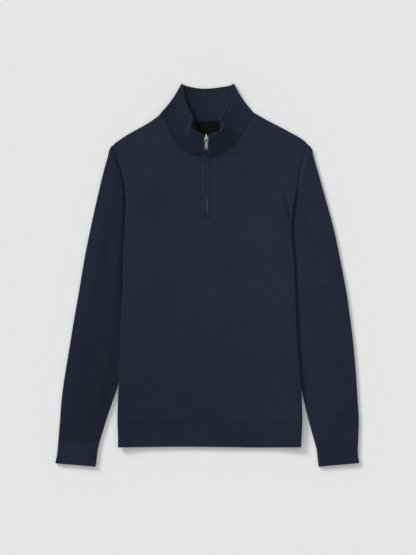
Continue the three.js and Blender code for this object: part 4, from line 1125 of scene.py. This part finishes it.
front = soft_piece(body_panel("front_knit", True), jersey, "knit", "front_panel")
back = soft_piece(body_panel("back_knit", False), jersey, "knit", "back_panel")
hem_front = soft_piece(hem_band("hem_rib_front", True), rib_knit, "rib", "hem_band_front", 0.6)
hem_back = soft_piece(hem_band("hem_rib_back", False), rib_knit, "rib", "hem_band_back", 0.6)
sleeve_knits = {-1: jersey_left_painted_shade, 1: jersey_right}
for side, word in ((-1, "left"), (1, "right")):
    sleeve = tube(f"sleeve_knit_{word}", SLEEVES[side], side, KNIT, 130,
                  finish=SEAM / 2, bow=armhole_bow(side))
    soft_piece(sleeve, sleeve_knits[side], "knit", f"sleeve_{word}")
    cuff = tube(f"cuff_rib_{word}", CUFFS[side], side, RIB, 14, start=SEAM / 2, bead=True)
    soft_piece(cuff, rib_knit, "rib", f"cuff_{word}", 0.6)
allowance = finish_piece(neck_allowance("neck_seam"), collar_knit, "rib", "sweater")
collar_piece = soft_piece(collar("collar_knit"), collar_knit, "rib", "collar", 0.95)
strips = [
    soft_piece(zip_strip(f"zip_facing_{word}", side), jersey, "rib", f"zip_strip_{word}", 0.4)
    for side, word in ((-1, "left"), (1, "right"))
]
tape = finish_piece(zip_tape("zip_tape"), tape_cloth, "rib", "sweater")
teeth = finish_piece(zip_teeth("zip_chain"), tooth_metal, "metal", "sweater", "zip_teeth")
tack = finish_piece(bar_tack("foot_stitches"), thread, "rib", "sweater")
slider = finish_piece(zip_slider("slider"), nickel, "metal", "sweater", "zip_slider")
pull = finish_piece(pull_tab("pull"), pull_metal, "metal", "pull", "pull_tab")
label = soft_piece(neck_label("label"), label_cloth, "label", "neck_label", 0.15)


# Floor, light and camera
def make_stage():
    mesh = bpy.data.meshes.new("floor")
    reach = 6.0
    corners = [(-reach, -reach, 0), (reach, -reach, 0), (reach, reach, 0), (-reach, reach, 0)]
    mesh.from_pydata([(x, y, -0.0002) for x, y, _ in corners], [], [(0, 1, 2, 3)])
    floor = bpy.data.objects.new("floor", mesh)
    floor.data.materials.append(floor_material())
    bpy.context.collection.objects.link(floor)


WORLD_FAR = 0.58
WORLD_NEAR = 0.78
KEY_ENERGY = 2.9


def make_light():
    to_light = Vector((-0.66, 0.66, 0.35)).normalized()
    world = bpy.data.worlds.new("studio")
    world.use_nodes = True
    nodes, links = world.node_tree.nodes, world.node_tree.links
    nodes["Background"].inputs["Color"].default_value = (1, 1, 1, 1)
    direction = nodes.new("ShaderNodeTexCoord")
    facing = nodes.new("ShaderNodeVectorMath")
    facing.operation = "DOT_PRODUCT"
    facing.inputs[1].default_value = to_light
    strength = nodes.new("ShaderNodeMapRange")
    strength.interpolation_type = "SMOOTHSTEP"
    strength.inputs["From Min"].default_value = -0.2
    strength.inputs["From Max"].default_value = 1.0
    strength.inputs["To Min"].default_value = WORLD_FAR
    strength.inputs["To Max"].default_value = WORLD_NEAR
    links.new(direction.outputs["Generated"], facing.inputs[0])
    links.new(facing.outputs["Value"], strength.inputs["Value"])
    links.new(strength.outputs["Result"], nodes["Background"].inputs["Strength"])
    bpy.context.scene.world = world
    lamp = bpy.data.lights.new("key", "SUN")
    lamp.energy = KEY_ENERGY
    lamp.angle = math.radians(15)
    key = bpy.data.objects.new("key", lamp)
    key.rotation_euler = (-to_light).to_track_quat("-Z", "Y").to_euler()
    bpy.context.collection.objects.link(key)
    bpy.context.scene.view_settings.view_transform = "Standard"


def make_camera():
    """Straight above, 555 pixels of the photograph's height over the 1137.8 mm that it shows."""
    view_height = 1.1378
    lens = 85.0
    sensor = 36.0
    data = bpy.data.cameras.new("camera")
    data.lens = lens
    data.sensor_width = sensor
    camera = bpy.data.objects.new("camera", data)
    camera.location = (1.6 * MM, -4.7 * MM, lens / sensor * view_height + OUTER_Z * MM)
    camera.rotation_euler = (0, 0, 0)
    bpy.context.collection.objects.link(camera)
    bpy.context.scene.camera = camera


make_stage()
make_light()
make_camera()
